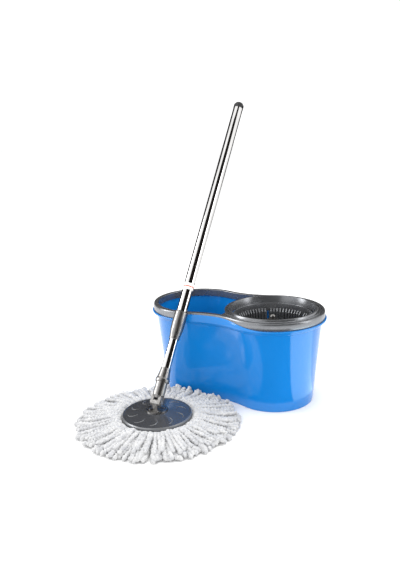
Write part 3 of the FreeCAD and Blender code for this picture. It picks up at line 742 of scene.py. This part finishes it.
@dataclass
class Bucket:
    """The moulded basin and the frame over its rim."""

    outline: LobeOutline
    blue: bpy.types.Material
    silver: bpy.types.Material
    foot_inset: float = 27 * MM
    lip_inset: float = 6.5 * MM
    wall: float = 2.8 * MM
    lip_under: float = 203 * MM
    rim_seat: float = 207 * MM
    rim_top: float = 225 * MM
    lip_reach: float = 3.4 * MM
    lip_rise: float = 14 * MM
    ledge_low: float = 194.5 * MM
    tongue_top: float = 218.6 * MM
    skirt: float = 3.5 * MM
    rim_width: float = 12 * MM
    deck: float = 4 * MM

    def wall_inset(self, height: float) -> float:
        """Return the outer wall's inset at a height."""
        return self.foot_inset - (self.foot_inset - self.lip_inset) * height / self.lip_under

    def shell_rows(self, across: np.ndarray) -> list[tuple]:
        """Section of the basin, from under its floor, up the outside and down the inside.

        Args:
            across: The stations' places along X, from the basket's axis.

        Returns:
            Pairs of inset and height.
        """
        place = across + self.outline.centre.x
        swell = ease(place, -0.100, -0.050) * (1 - ease(place, 0.020, 0.145))
        top = self.rim_seat - 0.1 * MM + self.lip_rise * swell
        reach = self.lip_reach
        lean = 2.0 * MM * swell
        foot = self.foot_inset
        rows = steps_off((foot, 0), (9.5, 2), (8.6, 1.8), (8, 0.5), (7.2, 0), (1.2, 0), (0.35, 0.3))
        for height in (2 * MM, 6 * MM, 40 * MM, 80 * MM, 120 * MM, 160 * MM, 188 * MM, self.ledge_low):
            rows.append((self.wall_inset(height), height))
        rows += steps_off((0, self.ledge_low), (5.9, 1.2), (4.6, 2.0), (4.1, 3.0))
        rows += steps_off((0, self.lip_under), (3.8, -1.2), (3.0, -0.4))
        rows += steps_off((-reach, self.lip_under), (1.6, -0.2), (0.5, 0.2), (0, 1.2))
        rows += steps_off((-reach + 0.1 * lean, self.lip_under), (0, 2.4))
        rows += steps_off((-reach + lean, top), (0, -1.0), (0.35, -0.3), (0.9, 0))
        rows += steps_off((0, top), (-0.35, 0))
        rows += steps_off((0, self.rim_seat), (-0.25, -0.15), (5.0, -0.15))
        rows += steps_off((0, self.tongue_top), (5.0, 0), (8.5, 0))
        rows += steps_off((0, self.rim_seat), (8.6, 0))
        for height in (self.rim_seat - 2 * MM, 150 * MM, 100 * MM, 50 * MM, 16 * MM):
            rows.append((self.wall_inset(height) + self.wall, height))
        return rows + steps_off((foot + self.wall, 0), (0.4, 10), (2.2, 6.6), (5, 5.2), (9, 5))

    def rim_rows(self, across: np.ndarray) -> list[tuple]:
        """Section of the rim ring: side band, top and inner skirt.

        Args:
            across: The stations' places along X, from the basket's axis.

        Returns:
            Pairs of inset and height.
        """
        hollow = ease(across, -0.095, -0.020)
        top, seat, width = self.rim_top, self.rim_seat, self.rim_width
        groove = [(inset * MM, top - deep * MM * hollow)
                  for inset, deep in ((4.2, 0.3), (6.0, 2.3), (8.4, 2.9), (10.2, 1.6), (10.9, 0.4))]
        return [*steps_off((0, seat), (0.5, 0), (0.05, 1), (-0.1, 7)),
                *steps_off((0, top), (0.1, -4.2), (0.6, -2.2), (1.3, -1.0), (2.2, -0.25), (3.2, 0)),
                *groove, *steps_off((0, top), (11.5, -0.2)),
                *steps_off((width, top), (-0.1, -0.8), (0, -1.8)),
                *steps_off((width, seat), (0, 0.6), (-0.6, 0)), *steps_off((0, seat), (9.6, 0)),
                *steps_off((0, top - self.deck), (9.4, 0)), (self.skirt, top - self.deck),
                (self.skirt, seat)]

    def collar_profile(self) -> Profile:
        """Profile of the deck ring, the groove, the raised collar and the funnel under it."""
        top = self.rim_top
        corners = steps_off((0, top, 0), (115.5, -0.2, 0.8), (113.8, 1.3, 1.2), (112.2, 0.9, 0.8),
                            (111.7, -1.6, 0.5), (109.8, -1.6, 0.5), (108.8, 0.4, 0.8), (107.2, 4.1, 1.4),
                            (103.1, 4.1, 1.2), (99.0, -15.2, 0.5), (102.0, -15.6, 0.5))
        under = steps_off((0, top - self.deck, 0), (115.5, 0, 0), (105.2, 0, 0))
        return rounded([under[0], *corners, under[1]], 5)

    def horn(self, shape: Shape, side: int) -> None:
        """Add the corner plate that fills the deck between the rim and the collar.

        Args:
            shape: The shape to add to.
            side: 1 for the back one, -1 for the front one.
        """
        middle = self.outline.centre
        corners = ((-34, 114, 2.0), (-91, 103.6, 1.0), (-90.5, 68.5, 0.5), (-70, 85.0, 0.5))
        outline = [(across * MM, side * up * MM, turn * MM) for across, up, turn in corners]
        edge = np.array(rounded(outline, 4))
        steps = ((0.0, self.deck), (0.0, 1.3 * MM), (0.35 * MM, 0.5 * MM), (1.2 * MM, 0.15 * MM))
        shape.loft([np.column_stack([edge + towards_middle(edge) * inward + middle.xy,
                                     np.full(len(edge), self.rim_top - below)])
                    for inward, below in steps])

    def build(self) -> None:
        """Build the basin and the rim frame."""
        shell = Shape()
        self.outline.sweep(shell, self.shell_rows, closed=False)
        show("basin", shell, self.blue, Body.BUCKET, "bucket_shell", 40)
        rim = Shape()
        self.outline.sweep(rim, self.rim_rows, closed=True)
        lathe(rim, self.collar_profile(), upright_axis(self.outline.centre), 256)
        for side in (1, -1):
            self.horn(rim, side)
        show("rim_top_frame", rim, self.silver, Body.BUCKET, "rim_frame", 38)


# ------------------------------------------------------------------ basket
@dataclass
class SpinBasket:
    """The wringing basket: a ribbed wall between two bands, and a slotted floor."""

    axis: Axis
    silver: bpy.types.Material
    low: float = 88 * MM
    top: float = 212 * MM
    radius_low: float = 88 * MM
    radius_high: float = 96 * MM
    wall: float = 2 * MM
    bead: float = 97 * MM
    rib_low: float = 94 * MM
    rib_top: float = 195 * MM
    band_low: float = 192 * MM
    rib_depth: float = 7.5 * MM
    rib_width: float = 3.0 * MM
    rib_edge: float = 0.7 * MM
    rib_count: int = 72
    gap_every: int = 12
    gap_half: float = 0.28
    panel: float = 1.4 * MM
    panel_steps: int = 40
    floor_thick: float = 3 * MM
    floor_hole: float = 30 * MM
    spoke_in: float = 42 * MM
    spoke_out: float = 78 * MM
    spoke_count: int = 18
    spoke_width: float = 9 * MM

    def radius_at(self, height: float) -> float:
        """Return the wall's outer radius at a height."""
        part = (height - self.low) / (self.top - self.low)
        return self.radius_low + (self.radius_high - self.radius_low) * part

    def rings(self, shape: Shape) -> None:
        """Add the top band with its bead, the bottom band, and the floor's two rings."""
        high, low, wall = self.band_low, self.low, self.wall
        under_bead = self.top - 5 * MM
        band = [(self.radius_at(high), high, 0), (self.radius_at(under_bead), under_bead, 0.5 * MM),
                (self.bead, self.top - 3.8 * MM, 0.6 * MM), (self.bead, self.top, 1.2 * MM),
                (self.radius_high - wall, self.top, 1.0 * MM), (self.radius_at(high) - wall, high, 0.4 * MM)]
        lathe(shape, rounded(band, 4), self.axis, 216)
        inside = self.low + self.floor_thick
        over_foot = self.rib_low + 3 * MM
        foot = [(self.radius_low, low, 1.0 * MM), (self.radius_at(over_foot), over_foot, 0),
                (self.radius_at(self.rib_low) - wall, over_foot, 0),
                (self.radius_low - 2 * wall, inside, 1.2 * MM), (self.spoke_out, inside, 0.4 * MM),
                (self.spoke_out, low, 0.4 * MM)]
        lathe(shape, rounded(foot, 3), self.axis, 216)
        inner = [(self.spoke_in, low, 0.4 * MM), (self.spoke_in, inside, 0.4 * MM),
                 (self.floor_hole, inside, 0), (self.floor_hole, low, 0)]
        lathe(shape, rounded(inner, 3), self.axis, 96)

    def upright_plate(self, shape: Shape, outline: Profile, angle: float, width: float,
                      trim: float) -> None:
        """Add a radial plate: an outline in radius and height, thickened across the angle.

        Args:
            shape: The shape to add to.
            outline: Its outline.
            angle: Where it stands round the axis.
            width: Its thickness.
            trim: How far its two faces draw in from its outline, which rounds its edge.
        """
        edge = np.array(outline)
        towards = towards_middle(edge)
        offsets = ((-0.5, 1.0), (-0.34, 0.25), (0.0, 0.0), (0.34, 0.25), (0.5, 1.0))
        rings = []
        for across, inward in offsets:
            drawn = edge + towards * trim * inward
            turned = angle + across * width / drawn[:, 0]
            rings.append(self.axis.points(drawn[:, 0], turned, drawn[:, 1]))
        shape.loft(rings)

    def ribs(self, shape: Shape) -> None:
        """Add the ribs, leaving one out at each wide gap, and the floor's spokes."""
        low, top, depth = self.rib_low, self.rib_top, self.rib_depth
        outer_low, outer_top = self.radius_at(low), self.radius_at(top)
        outline = rounded([(outer_low, low, 0), (outer_top - 0.3 * MM, top + 6 * MM, 1 * MM),
                           (outer_top - 2.2 * MM, top + 3 * MM, 2 * MM),
                           (outer_top - depth, top - 4 * MM, 3 * MM), (outer_low - depth, low, 2 * MM)], 4)
        for index in range(self.rib_count):
            if index % self.gap_every:
                angle = FULL_TURN * index / self.rib_count
                self.upright_plate(shape, outline, angle, self.rib_width, self.rib_edge)
        high = self.low + self.floor_thick
        near, far = self.spoke_in - 1 * MM, self.spoke_out + 1 * MM
        spoke = [(near, self.low), (far, self.low), (far, high), (near, high)]
        for index in range(self.spoke_count):
            self.upright_plate(shape, spoke, FULL_TURN * index / self.spoke_count, self.spoke_width, 0.0)

    def panels(self, shape: Shape) -> None:
        """Add the thin wall behind each run of ribs, open at the wide gaps."""
        low, top, thin = self.rib_low, self.rib_top, self.panel
        corners = [(self.radius_at(low), low), (self.radius_at(top), top),
                   (self.radius_at(top) - thin, top), (self.radius_at(low) - thin, low)]
        for start in range(0, self.rib_count, self.gap_every):
            ends = np.array([start + self.gap_half, start + self.gap_every - self.gap_half])
            angle = np.linspace(*(FULL_TURN * ends / self.rib_count), self.panel_steps)
            shape.loft(np.stack([self.axis.points(radius, angle, height) for radius, height in corners],
                                axis=1))

    def build(self) -> None:
        """Build the basket."""
        shape = Shape()
        self.rings(shape)
        self.panels(shape)
        self.ribs(shape)
        show("wringing_cage", shape, self.silver, Body.BASKET, "basket", 35)


# ------------------------------------------------------------------ mop head
@dataclass(frozen=True)
class StrandLayer:
    """One layer of yarn loops: how many, how high they lie and how far they reach."""

    count: int
    lift: float
    crest: float
    reach_low: float
    reach_high: float
    thick: float


@dataclass
class MopHead:
    """The round plate with its swirl of ridges, and the yarn clamped under it."""

    axis: Axis
    dark: bpy.types.Material
    # Lighter plastic: a lighter trim on the plate's side band, and painted highlight on the swirl ridges.
    edge: bpy.types.Material
    yarn: bpy.types.Material
    plate: float = 80 * MM
    plate_low: float = 18.5 * MM
    plate_top: float = 28 * MM
    crown: float = 34 * MM
    crown_flat: float = 27 * MM
    dish: float = 74.4 * MM
    dish_height: float = 27.1 * MM
    ridge_count: int = 10
    ridge_first: float = 0.35
    ridge_curve: float = 13.5 * MM
    ridge_tilt: float = 0.65
    ridge_place: float = 60 * MM
    ridge_bend: float = 2.5
    ridge_steps: int = 22
    start: float = 77 * MM
    start_height: float = 12.5 * MM
    wall_side: float = 155 * MM
    spread: float = 0.026
    spread_towards: float = math.radians(29)
    sway: float = 1.6 * MM
    drift: float = 5.0 * MM
    waver: float = 1.3 * MM
    crest_places: tuple[float, float] = (92, 108)
    crest_width: float = 26 * MM
    bead_lengths: tuple[float, float] = (6.4, 8.4)
    lumpiness: tuple[float, float] = (0.16, 0.26)
    thickness: tuple[float, float] = (0.86, 1.12)
    strand_steps: int = 64
    strand_sides: int = 9
    seed: int = 41
    layers: tuple[StrandLayer, ...] = (
        StrandLayer(112, 0.0 * MM, 3 * MM, 172 * MM, 187 * MM, 4.8 * MM),
        StrandLayer(106, 7.0 * MM, 4 * MM, 168 * MM, 185 * MM, 4.8 * MM),
        StrandLayer(92, 13.0 * MM, 5 * MM, 156 * MM, 179 * MM, 4.7 * MM),
    )

    def plate_profile(self) -> Profile:
        """Profile of the plate: a low dome inside a bevelled edge, over a skirt and a boss."""
        low, top, edge = self.plate_low, self.plate_top, self.plate
        return rounded([*steps_off((0, 0, 0), (0, 9.5, 0), (61.8, 9.5, 0.5)),
                        *steps_off((0, low, 0), (61.8, 0, 0.3)),
                        *steps_off((edge, low, 0), (-0.8, 0, 0.6), (0, 1.2, 0.5)),
                        *steps_off((edge, top, 0), (-0.2, -2.2, 0.6), (-2.6, -0.2, 0.5), (-4.4, -0.1, 0.5)),
                        (self.dish, self.dish_height, 1.5 * MM), (self.crown_flat, self.crown, 3 * MM),
                        (0.0, self.crown, 0)], 4)

    def dome_height(self, radius: np.ndarray) -> np.ndarray:
        """Return the dome's height at each radius."""
        return np.interp(radius, (self.crown_flat, self.dish), (self.crown, self.dish_height))

    def ridges(self, shape: Shape) -> None:
        """Add the thin raised crescents that swirl round the plate."""
        for index in range(self.ridge_count):
            turn = FULL_TURN * (index + self.ridge_first) / self.ridge_count
            part = np.linspace(0, 1, self.ridge_steps)
            bend = self.ridge_bend * part - self.ridge_bend / 2
            local_x = self.ridge_curve * np.sin(bend)
            local_y = self.ridge_curve * (1 - np.cos(bend))
            tilt = self.ridge_tilt
            out = self.ridge_place + local_x * math.cos(tilt) - local_y * math.sin(tilt)
            side = -local_x * math.sin(tilt) - local_y * math.cos(tilt)
            line = np.column_stack([
                self.axis.origin.x + out * math.cos(turn) - side * math.sin(turn),
                self.axis.origin.y + out * math.sin(turn) + side * math.cos(turn),
                self.dome_height(np.hypot(out, side))])
            tube_along(shape, line, (0.12 + 0.85 * np.sin(math.pi * part) ** 0.7) * MM, 8)

    def strand(self, shape: Shape, layer: StrandLayer, angle: float, draw: np.random.Generator) -> None:
        """Add one yarn loop, lying outward from under the plate.

        Args:
            shape: The shape to add to.
            layer: The layer that it lies in.
            angle: Its direction from the mop's axis.
            draw: Where its random numbers come from.
        """
        steps, sides = self.strand_steps, self.strand_sides
        reach = draw.uniform(layer.reach_low, layer.reach_high)
        reach *= 1 + self.spread * math.cos(2 * (angle - self.spread_towards))
        room = self.wall_side - draw.uniform(0, 12) * MM
        blocked = math.sin(angle) > 0 and room / math.sin(angle) < reach
        if blocked:
            reach = room / math.sin(angle)
        part = np.linspace(0, 1, steps)
        out = self.start + (reach - self.start) * part
        sway = draw.normal(0, self.sway) * np.sin(part * draw.uniform(3, 7) + draw.uniform(0, 6))
        drift = draw.normal(0, self.drift) * part ** 1.5
        fan = np.arctan2(sway * part + drift, out) + angle
        crest_at = draw.uniform(*self.crest_places) * MM
        crest = layer.crest * np.exp(-((out - crest_at) / self.crest_width) ** 2)
        base = layer.thick + layer.lift * (1 - 0.25 * ease(out, 0.130, 0.180))
        height = base + crest
        height = height + draw.normal(0, self.waver) * np.sin(part * draw.uniform(5, 9) + draw.uniform(0, 6))
        if blocked:
            height = height + draw.uniform(2, 11) * MM * ease(part, 0.72, 1.0)
        meet = ease(out, self.start, self.start + 14 * MM)
        start = self.start_height - draw.uniform(0, 5) * MM
        height = start * (1 - meet) + height * meet
        long = np.concatenate([[0], np.cumsum(np.hypot(np.diff(out), np.diff(height)))])
        beads = draw.uniform(*self.bead_lengths) * MM
        lumpy = draw.uniform(*self.lumpiness)
        ends = np.clip(1 - ((long - long[-1] + 4.2 * MM) / (4.4 * MM)).clip(0, 1) ** 2.2, 0.03, 1) ** 0.5
        thick = layer.thick * draw.uniform(*self.thickness) * ends
        phase = draw.uniform(0, FULL_TURN)
        round_angle = np.linspace(0, FULL_TURN, sides, endpoint=False)
        knobs = (1 + lumpy * np.sin(FULL_TURN * long / beads + phase)[:, None]
                 + 0.13 * np.cos(2 * round_angle[None, :] - FULL_TURN * long[:, None] / (2.1 * beads))
                 + draw.normal(0, 0.035, (steps, sides)))
        height = np.maximum(height, thick * (1.24 + lumpy))
        line = np.column_stack([self.axis.origin.x + out * np.cos(fan),
                                self.axis.origin.y + out * np.sin(fan), height])
        tube_along(shape, line, thick[:, None] * knobs, sides)

    def build(self) -> None:
        """Build the plate and the yarn."""
        plate = Shape()
        lathe(plate, self.plate_profile(), self.axis, 160)
        self.ridges(plate)
        disc = show("mop_disc", plate, self.dark, Body.PLATE, "mop_plate", 30)
        # Second material: on the plate's side band it is a lighter trim; on the swirl ridges its lighter colour is
        # painted highlight that stands in for their bright lines.
        disc.data.materials.append(self.edge)
        for face in disc.data.polygons:
            out = (face.center - self.axis.origin).xy.length
            side = out > self.plate - 3.0 * MM and face.center.z > self.plate_low
            ridge = self.crown_flat < out < self.dish and face.center.z > self.dome_height(out) + 0.25 * MM
            face.material_index = int(side or ridge)
        draw = np.random.default_rng(self.seed)
        yarn = Shape()
        for layer in self.layers:
            first = draw.uniform(0, 1)
            for index in range(layer.count):
                angle = FULL_TURN * (index + first + draw.uniform(-0.35, 0.35)) / layer.count
                self.strand(yarn, layer, angle % FULL_TURN, draw)
        show("yarn_loops", yarn, self.yarn, Body.YARN, "mop_strands", 180)


# ------------------------------------------------------------------ handle
@dataclass(frozen=True)
class TurnedPart:
    """A piece turned about the handle's axis."""

    name: str
    node: str
    body: Body
    slot: Slot
    finish: bpy.types.Material
    corners: tuple[tuple[float, float, float], ...]

    def build(self, axis: Axis) -> None:
        """Build the piece.

        Args:
            axis: The handle's axis, from the hinge.
        """
        shape = Shape()
        profile = rounded([(radius * MM, along * MM, turn * MM) for radius, along, turn in self.corners], 5)
        lathe(shape, profile, axis, 112)
        show(self.name, shape, self.finish, self.body, self.node, 28)


@dataclass
class Handle:
    """The telescoping handle: two mirror-polished tubes, the twist lock and the foot's collar."""

    axis: Axis
    mirror: bpy.types.Material
    satin: bpy.types.Material
    black: bpy.types.Material
    band: bpy.types.Material

    def parts(self) -> list[TurnedPart]:
        """List the turned pieces, whose corners are radius, height and rounding in millimetres."""
        lower, upper, lock = Body.LOWER, Body.UPPER, Body.LOCK
        shine, steel, soft = Slot.POLISHED, Slot.SILVER, Slot.BLACK
        return [
            TurnedPart("inner_tube", "lower_tube", lower, shine, self.mirror,
                       ((10.5, 50, 0.2), (10.5, 430, 0.3), (9.7, 430, 0.3), (9.7, 50, 0.2))),
            TurnedPart("outer_tube", "upper_tube", upper, shine, self.mirror,
                       ((12.5, 170, 0.3), (12.5, 785, 0.3), (11.7, 785, 0.2), (11.7, 170, 0.3))),
            TurnedPart("foot_collar", "joint_collar", lower, steel, self.satin,
                       ((13.6, 46.5, 0), (16.0, 46.5, 0.6), (16.25, 49, 1), (16.25, 53, 1.2), (14.6, 57, 6),
                        (12.6, 68, 8), (11.3, 80, 0.5), (10.55, 80, 0.2), (10.55, 52, 0), (13.6, 52, 0))),
            TurnedPart("twist_lock", "lock_sleeve", lock, steel, self.satin,
                       ((10.8, 149, 0.3), (12.0, 149, 0.7), (12.2, 156, 5), (13.5, 164, 4), (14.8, 173, 6),
                        (15.5, 189, 10), (15.5, 216, 0.9), (13.7, 216, 0.2), (13.7, 172, 0), (12.0, 168, 0),
                        (11.8, 152, 0), (10.8, 152, 0))),
            TurnedPart("lock_seal", "sleeve_seal", lock, soft, self.black,
                       ((12.6, 216.05, 0), (14.9, 216.05, 0.2), (14.9, 217, 0.5), (14.2, 217.5, 0.3),
                        (12.6, 217.5, 0.3))),
            TurnedPart("film_band", "plain_band", upper, Slot.BAND, self.band,
                       ((12.55, 272.5, 0), (12.75, 272.5, 0.1), (12.75, 288.5, 0.1), (12.55, 288.5, 0))),
        ]

    def build(self) -> None:
        """Build the turned pieces."""
        for part in self.parts():
            part.build(self.axis)


# ------------------------------------------------------------------ studio
@dataclass(frozen=True)
class SoftBox:
    """A rectangular lamp that looks at a point."""

    name: str
    place: tuple[float, float, float]
    target: tuple[float, float, float]
    size: tuple[float, float]
    power: float
    in_gloss: bool = True

    def build(self) -> None:
        """Hang the lamp."""
        data = bpy.data.lights.new(self.name, "AREA")
        data.shape = "RECTANGLE"
        data.size, data.size_y = self.size
        data.energy = self.power
        lamp = bpy.data.objects.new(self.name, data)
        lamp.location = self.place
        aim = Vector(self.target) - Vector(self.place)
        lamp.rotation_euler = aim.to_track_quat("-Z", "Y").to_euler()
        lamp.visible_glossy = self.in_gloss
        bpy.context.scene.collection.objects.link(lamp)


def stage_sheet(name: str, grid: np.ndarray, finish: bpy.types.Material, gloss_only: bool = True) -> None:
    """Put an open sheet of points in the studio.

    Args:
        name: Its name.
        grid: Its points, by row and column.
        finish: Its material.
        gloss_only: Whether only reflections see it.
    """
    rows, columns = grid.shape[:2]
    faces = [(corner, corner + 1, corner + columns + 1, corner + columns)
             for row in range(rows - 1) for corner in range(row * columns, (row + 1) * columns - 1)]
    data = bpy.data.meshes.new(name)
    data.from_pydata(grid.reshape(-1, 3).tolist(), [], faces)
    data.materials.append(finish)
    piece = bpy.data.objects.new(name, data)
    bpy.context.scene.collection.objects.link(piece)
    if gloss_only:
        piece.visible_camera = piece.visible_diffuse = piece.visible_shadow = False


@dataclass(frozen=True)
class DarkDome:
    """A patch of a large dark dome that only reflections see, as a studio's dark room would be."""

    name: str
    radius: float
    sweep: tuple[float, float]
    rise: tuple[float, float]

    def build(self, finish: bpy.types.Material) -> None:
        """Hang the patch round the origin.

        Args:
            finish: Its material.
        """
        steps = 24
        turn = np.radians(np.linspace(*self.sweep, steps))
        lift = np.radians(np.linspace(*self.rise, steps))
        around, above = np.meshgrid(turn, lift)
        points = self.radius * np.stack([np.cos(above) * np.cos(around), np.cos(above) * np.sin(around),
                                         np.sin(above)], axis=-1)
        stage_sheet(self.name, points, finish)


@dataclass(frozen=True)
class FloorCard:
    """A card that lies round the bucket, which only its gloss sees."""

    name: str
    centre: Vector
    radii: tuple[float, float]
    sweep: tuple[float, float]
    lift: float = 1.5 * MM

    def build(self, finish: bpy.types.Material) -> None:
        """Lay the card down.

        Args:
            finish: Its material.
        """
        turn = np.radians(np.linspace(*self.sweep, 33))
        ground = upright_axis(self.centre)
        stage_sheet(self.name, np.stack([ground.points(radius, turn, self.lift) for radius in self.radii]),
                    finish)


@dataclass
class Studio:
    """White floor and room, lamps, dark boards and the camera."""

    bucket: Vector
    camera_place: tuple[float, float, float] = (0.6605, -1.1933, 0.6425)
    camera_aim: tuple[float, float, float] = (-0.4804, 0.8423, -0.2442)
    camera_roll: float = -0.033
    lens: float = 38.43
    floor_half: float = 30.0
    room_light: float = 1.17
    card_glow: float = 1.4

    def floor(self) -> None:
        """Lay the floor: plain matt white."""
        sheet = MaterialSheet("white_floor")
        sheet.settle(Specular_IOR_Level=0.0)
        grain = sheet.group(NodeGroups.grain(), Scale=60.0, Slow_Scale=3.0)
        sheet.feed(sheet.mix(grain["Patch"], (0.85, 0.85, 0.85), (0.88, 0.88, 0.88)), Sink.COLOUR)
        sheet.feed(sheet.span(grain["Patch"], 0.5, 0.6), Sink.ROUGHNESS)
        across, up = np.meshgrid((-self.floor_half, self.floor_half), (-self.floor_half, self.floor_half))
        stage_sheet("floor", np.stack([across, up, 0 * up], axis=-1), sheet.material, gloss_only=False)

    def boards(self) -> None:
        """Hang the dark patches that the tubes mirror, and lay the two cards that the bucket mirrors."""
        sheet = MaterialSheet("dark_board")
        sheet.settle(Roughness=1.0, Specular_IOR_Level=0.0)
        grain = sheet.group(NodeGroups.grain())
        sheet.feed(sheet.mix(grain["Patch"], (0.010, 0.009, 0.008), (0.016, 0.014, 0.013)), Sink.COLOUR)
        for patch in (DarkDome("dark_room_front", 3.4, (-90, 5), (-2, 80)),
                      DarkDome("dark_room_back", 3.4, (64, 187), (2, 52))):
            patch.build(sheet.material)
        FloorCard("dark_card", self.bucket, (0.13, 0.62), (-112, -30)).build(sheet.material)
        glow = MaterialSheet("glow_card")
        glow.settle(Emission_Color=(0.60, 0.90, 1.0), Emission_Strength=self.card_glow)
        FloorCard("bright_card", self.bucket, (0.13, 0.55), (-30, 30)).build(glow.material)

    def lamps(self) -> None:
        """Hang the soft boxes and fill the room with white light."""
        world = bpy.data.worlds.new("white_room")
        world.use_nodes = True
        background = world.node_tree.nodes["Background"]
        background.inputs["Color"].default_value = (1.0, 1.0, 1.0, 1.0)
        background.inputs["Strength"].default_value = self.room_light
        bpy.context.scene.world = world
        for lamp in (
                SoftBox("left_box", (-1.9, -0.8, 1.1), (0.0, -0.05, 0.15), (0.7, 1.6), 23),
                SoftBox("right_box", (1.9, 0.35, 0.9), (0.05, 0.0, 0.15), (0.5, 1.6), 8),
                SoftBox("front_fill", (0.8, -1.7, 0.9), (0.0, -0.1, 0.05), (1.2, 1.2), 9, in_gloss=False),
                SoftBox("top_box", (0.1, 0.2, 2.2), (0.0, 0.0, 0.0), (1.6, 1.6), 24, in_gloss=False)):
            lamp.build()

    def camera(self) -> None:
        """Stand the camera and choose plain tone mapping."""
        look = Vector(self.camera_aim).normalized()
        right = look.cross(Vector((0, 0, 1))).normalized()
        over = right.cross(look)
        turned_right = right * math.cos(self.camera_roll) + over * math.sin(self.camera_roll)
        turned_over = over * math.cos(self.camera_roll) - right * math.sin(self.camera_roll)
        data = bpy.data.cameras.new("camera")
        data.sensor_fit = "AUTO"
        data.sensor_width = 36.0
        data.lens = self.lens
        camera = bpy.data.objects.new("camera", data)
        frame_axes = Matrix((turned_right, turned_over, -look)).transposed().to_4x4()
        camera.matrix_world = Matrix.Translation(Vector(self.camera_place)) @ frame_axes
        bpy.context.scene.collection.objects.link(camera)
        bpy.context.scene.camera = camera
        bpy.context.scene.view_settings.view_transform = "Standard"

    def build(self) -> None:
        """Set up the whole studio."""
        self.floor()
        self.boards()
        self.lamps()
        self.camera()


# ------------------------------------------------------------------ the whole set
class Wardrobe:
    """Every finish of the set, made once."""

    def __init__(self, handle: Axis) -> None:
        """Make the finishes.

        Args:
            handle: The handle's axis, which the tubes' hairlines follow.
        """
        lean = lean_of(handle)
        band_middle = self._up_handle(handle, 280.5 * MM)
        by_slot = {
            Slot.BLUE: Plastic("blue_moulding", (0.0046, 0.185, 0.56), (0.16, 0.42, 0.80), 0.13, coat=0.3,
                               grain_height=0.012 * MM, wear=0.25, dust=0.03),
            Slot.SILVER: Plastic("silver_moulding", (0.225, 0.232, 0.245), (0.46, 0.47, 0.48), 0.27,
                                 metallic=0.80, flakes=True, wear=0.5),
            Slot.DARK: Plastic("anthracite_moulding", (0.034, 0.036, 0.042), (0.12, 0.12, 0.13), 0.22,
                               wear=0.6, coat=0.5, dust=0.03),
            Slot.BLACK: Plastic("black_moulding", (0.012, 0.012, 0.013), (0.05, 0.05, 0.05), 0.5),
            Slot.NYLON: Plastic("natural_nylon", (0.72, 0.72, 0.69), (0.8, 0.8, 0.78), 0.42),
            # Mirror steel: a black grazing tint paints dark outlines on the tubes' reflections.
            Slot.POLISHED: Metal("mirror_steel", (0.84, 0.83, 0.82), 0.045, lean, 0.001 * MM,
                                 grazing_shade_tint=(0.0, 0.0, 0.0)),
            Slot.STEEL: Metal("machined_steel", (0.55, 0.55, 0.56), 0.32, 0.0, 0.01 * MM),
            Slot.BRASS: Metal("sintered_brass", (0.70, 0.50, 0.22), 0.35),
            # The yarn's second, darker colour is painted shade between its lumps.
            Slot.YARN: Yarn("microfibre_yarn", (0.58, 0.58, 0.58), (0.42, 0.425, 0.44)),
            Slot.BAND: BandFilm("film_with_line", lean, band_middle, 1.4 * MM),
        }
        self.of = {slot: finish.material() for slot, finish in by_slot.items()}
        # Lighter metallic plastic: trim on the plate's side band, and painted highlight on the swirl ridges.
        self.edge = Plastic("disc_trim_and_ridge_highlight", (0.20, 0.205, 0.215), (0.40, 0.41, 0.42), 0.30, metallic=0.5,
                            wear=0.5).material()
        # Satin steel: a near-black grazing tint paints darker reflections towards its outline.
        self.satin = Metal("satin_steel", (0.36, 0.35, 0.34), 0.33, lean,
                           grazing_shade_tint=(0.1, 0.1, 0.1)).material()

    @staticmethod
    def _up_handle(handle: Axis, along: float) -> float:
        """Return the upright height, once the handle is stood upright, of a place along it."""
        lean = lean_of(handle)
        place = handle.origin + handle.along * along
        return place.y * math.sin(lean) + place.z * math.cos(lean)

    def dress_frame(self) -> None:
        """Give every node of the frame the finish of its slot, and the joint's pieces their own."""
        for item in frame["record"]["subparts"]:
            dress(self.of[Slot(item["material_slot"])], item["node"])
        dress(self.satin, "joint_fork", "plate_lug", "base_ring", "hub_cap", "ball_cap")


def main() -> None:
    """Build the set, dress it and stand it in the studio."""
    logging.basicConfig(level=logging.INFO, format="%(name)s: %(message)s")
    handle = handle_axis()
    basket_axis = upright_axis(Vector(joint("basket_spin")["pos_m"]))
    mop = upright_axis(handle.origin)
    finishes = Wardrobe(handle)
    finishes.dress_frame()
    blue, silver, dark = (finishes.of[slot] for slot in (Slot.BLUE, Slot.SILVER, Slot.DARK))
    Bucket(LobeOutline(basket_axis.origin), blue, silver).build()
    SpinBasket(basket_axis, silver).build()
    MopHead(mop, dark, finishes.edge, finishes.of[Slot.YARN]).build()
    Handle(handle, finishes.of[Slot.POLISHED], finishes.satin, finishes.of[Slot.BLACK],
           finishes.of[Slot.BAND]).build()
    Studio(basket_axis.origin).build()


if __name__ == "__main__":
    main()
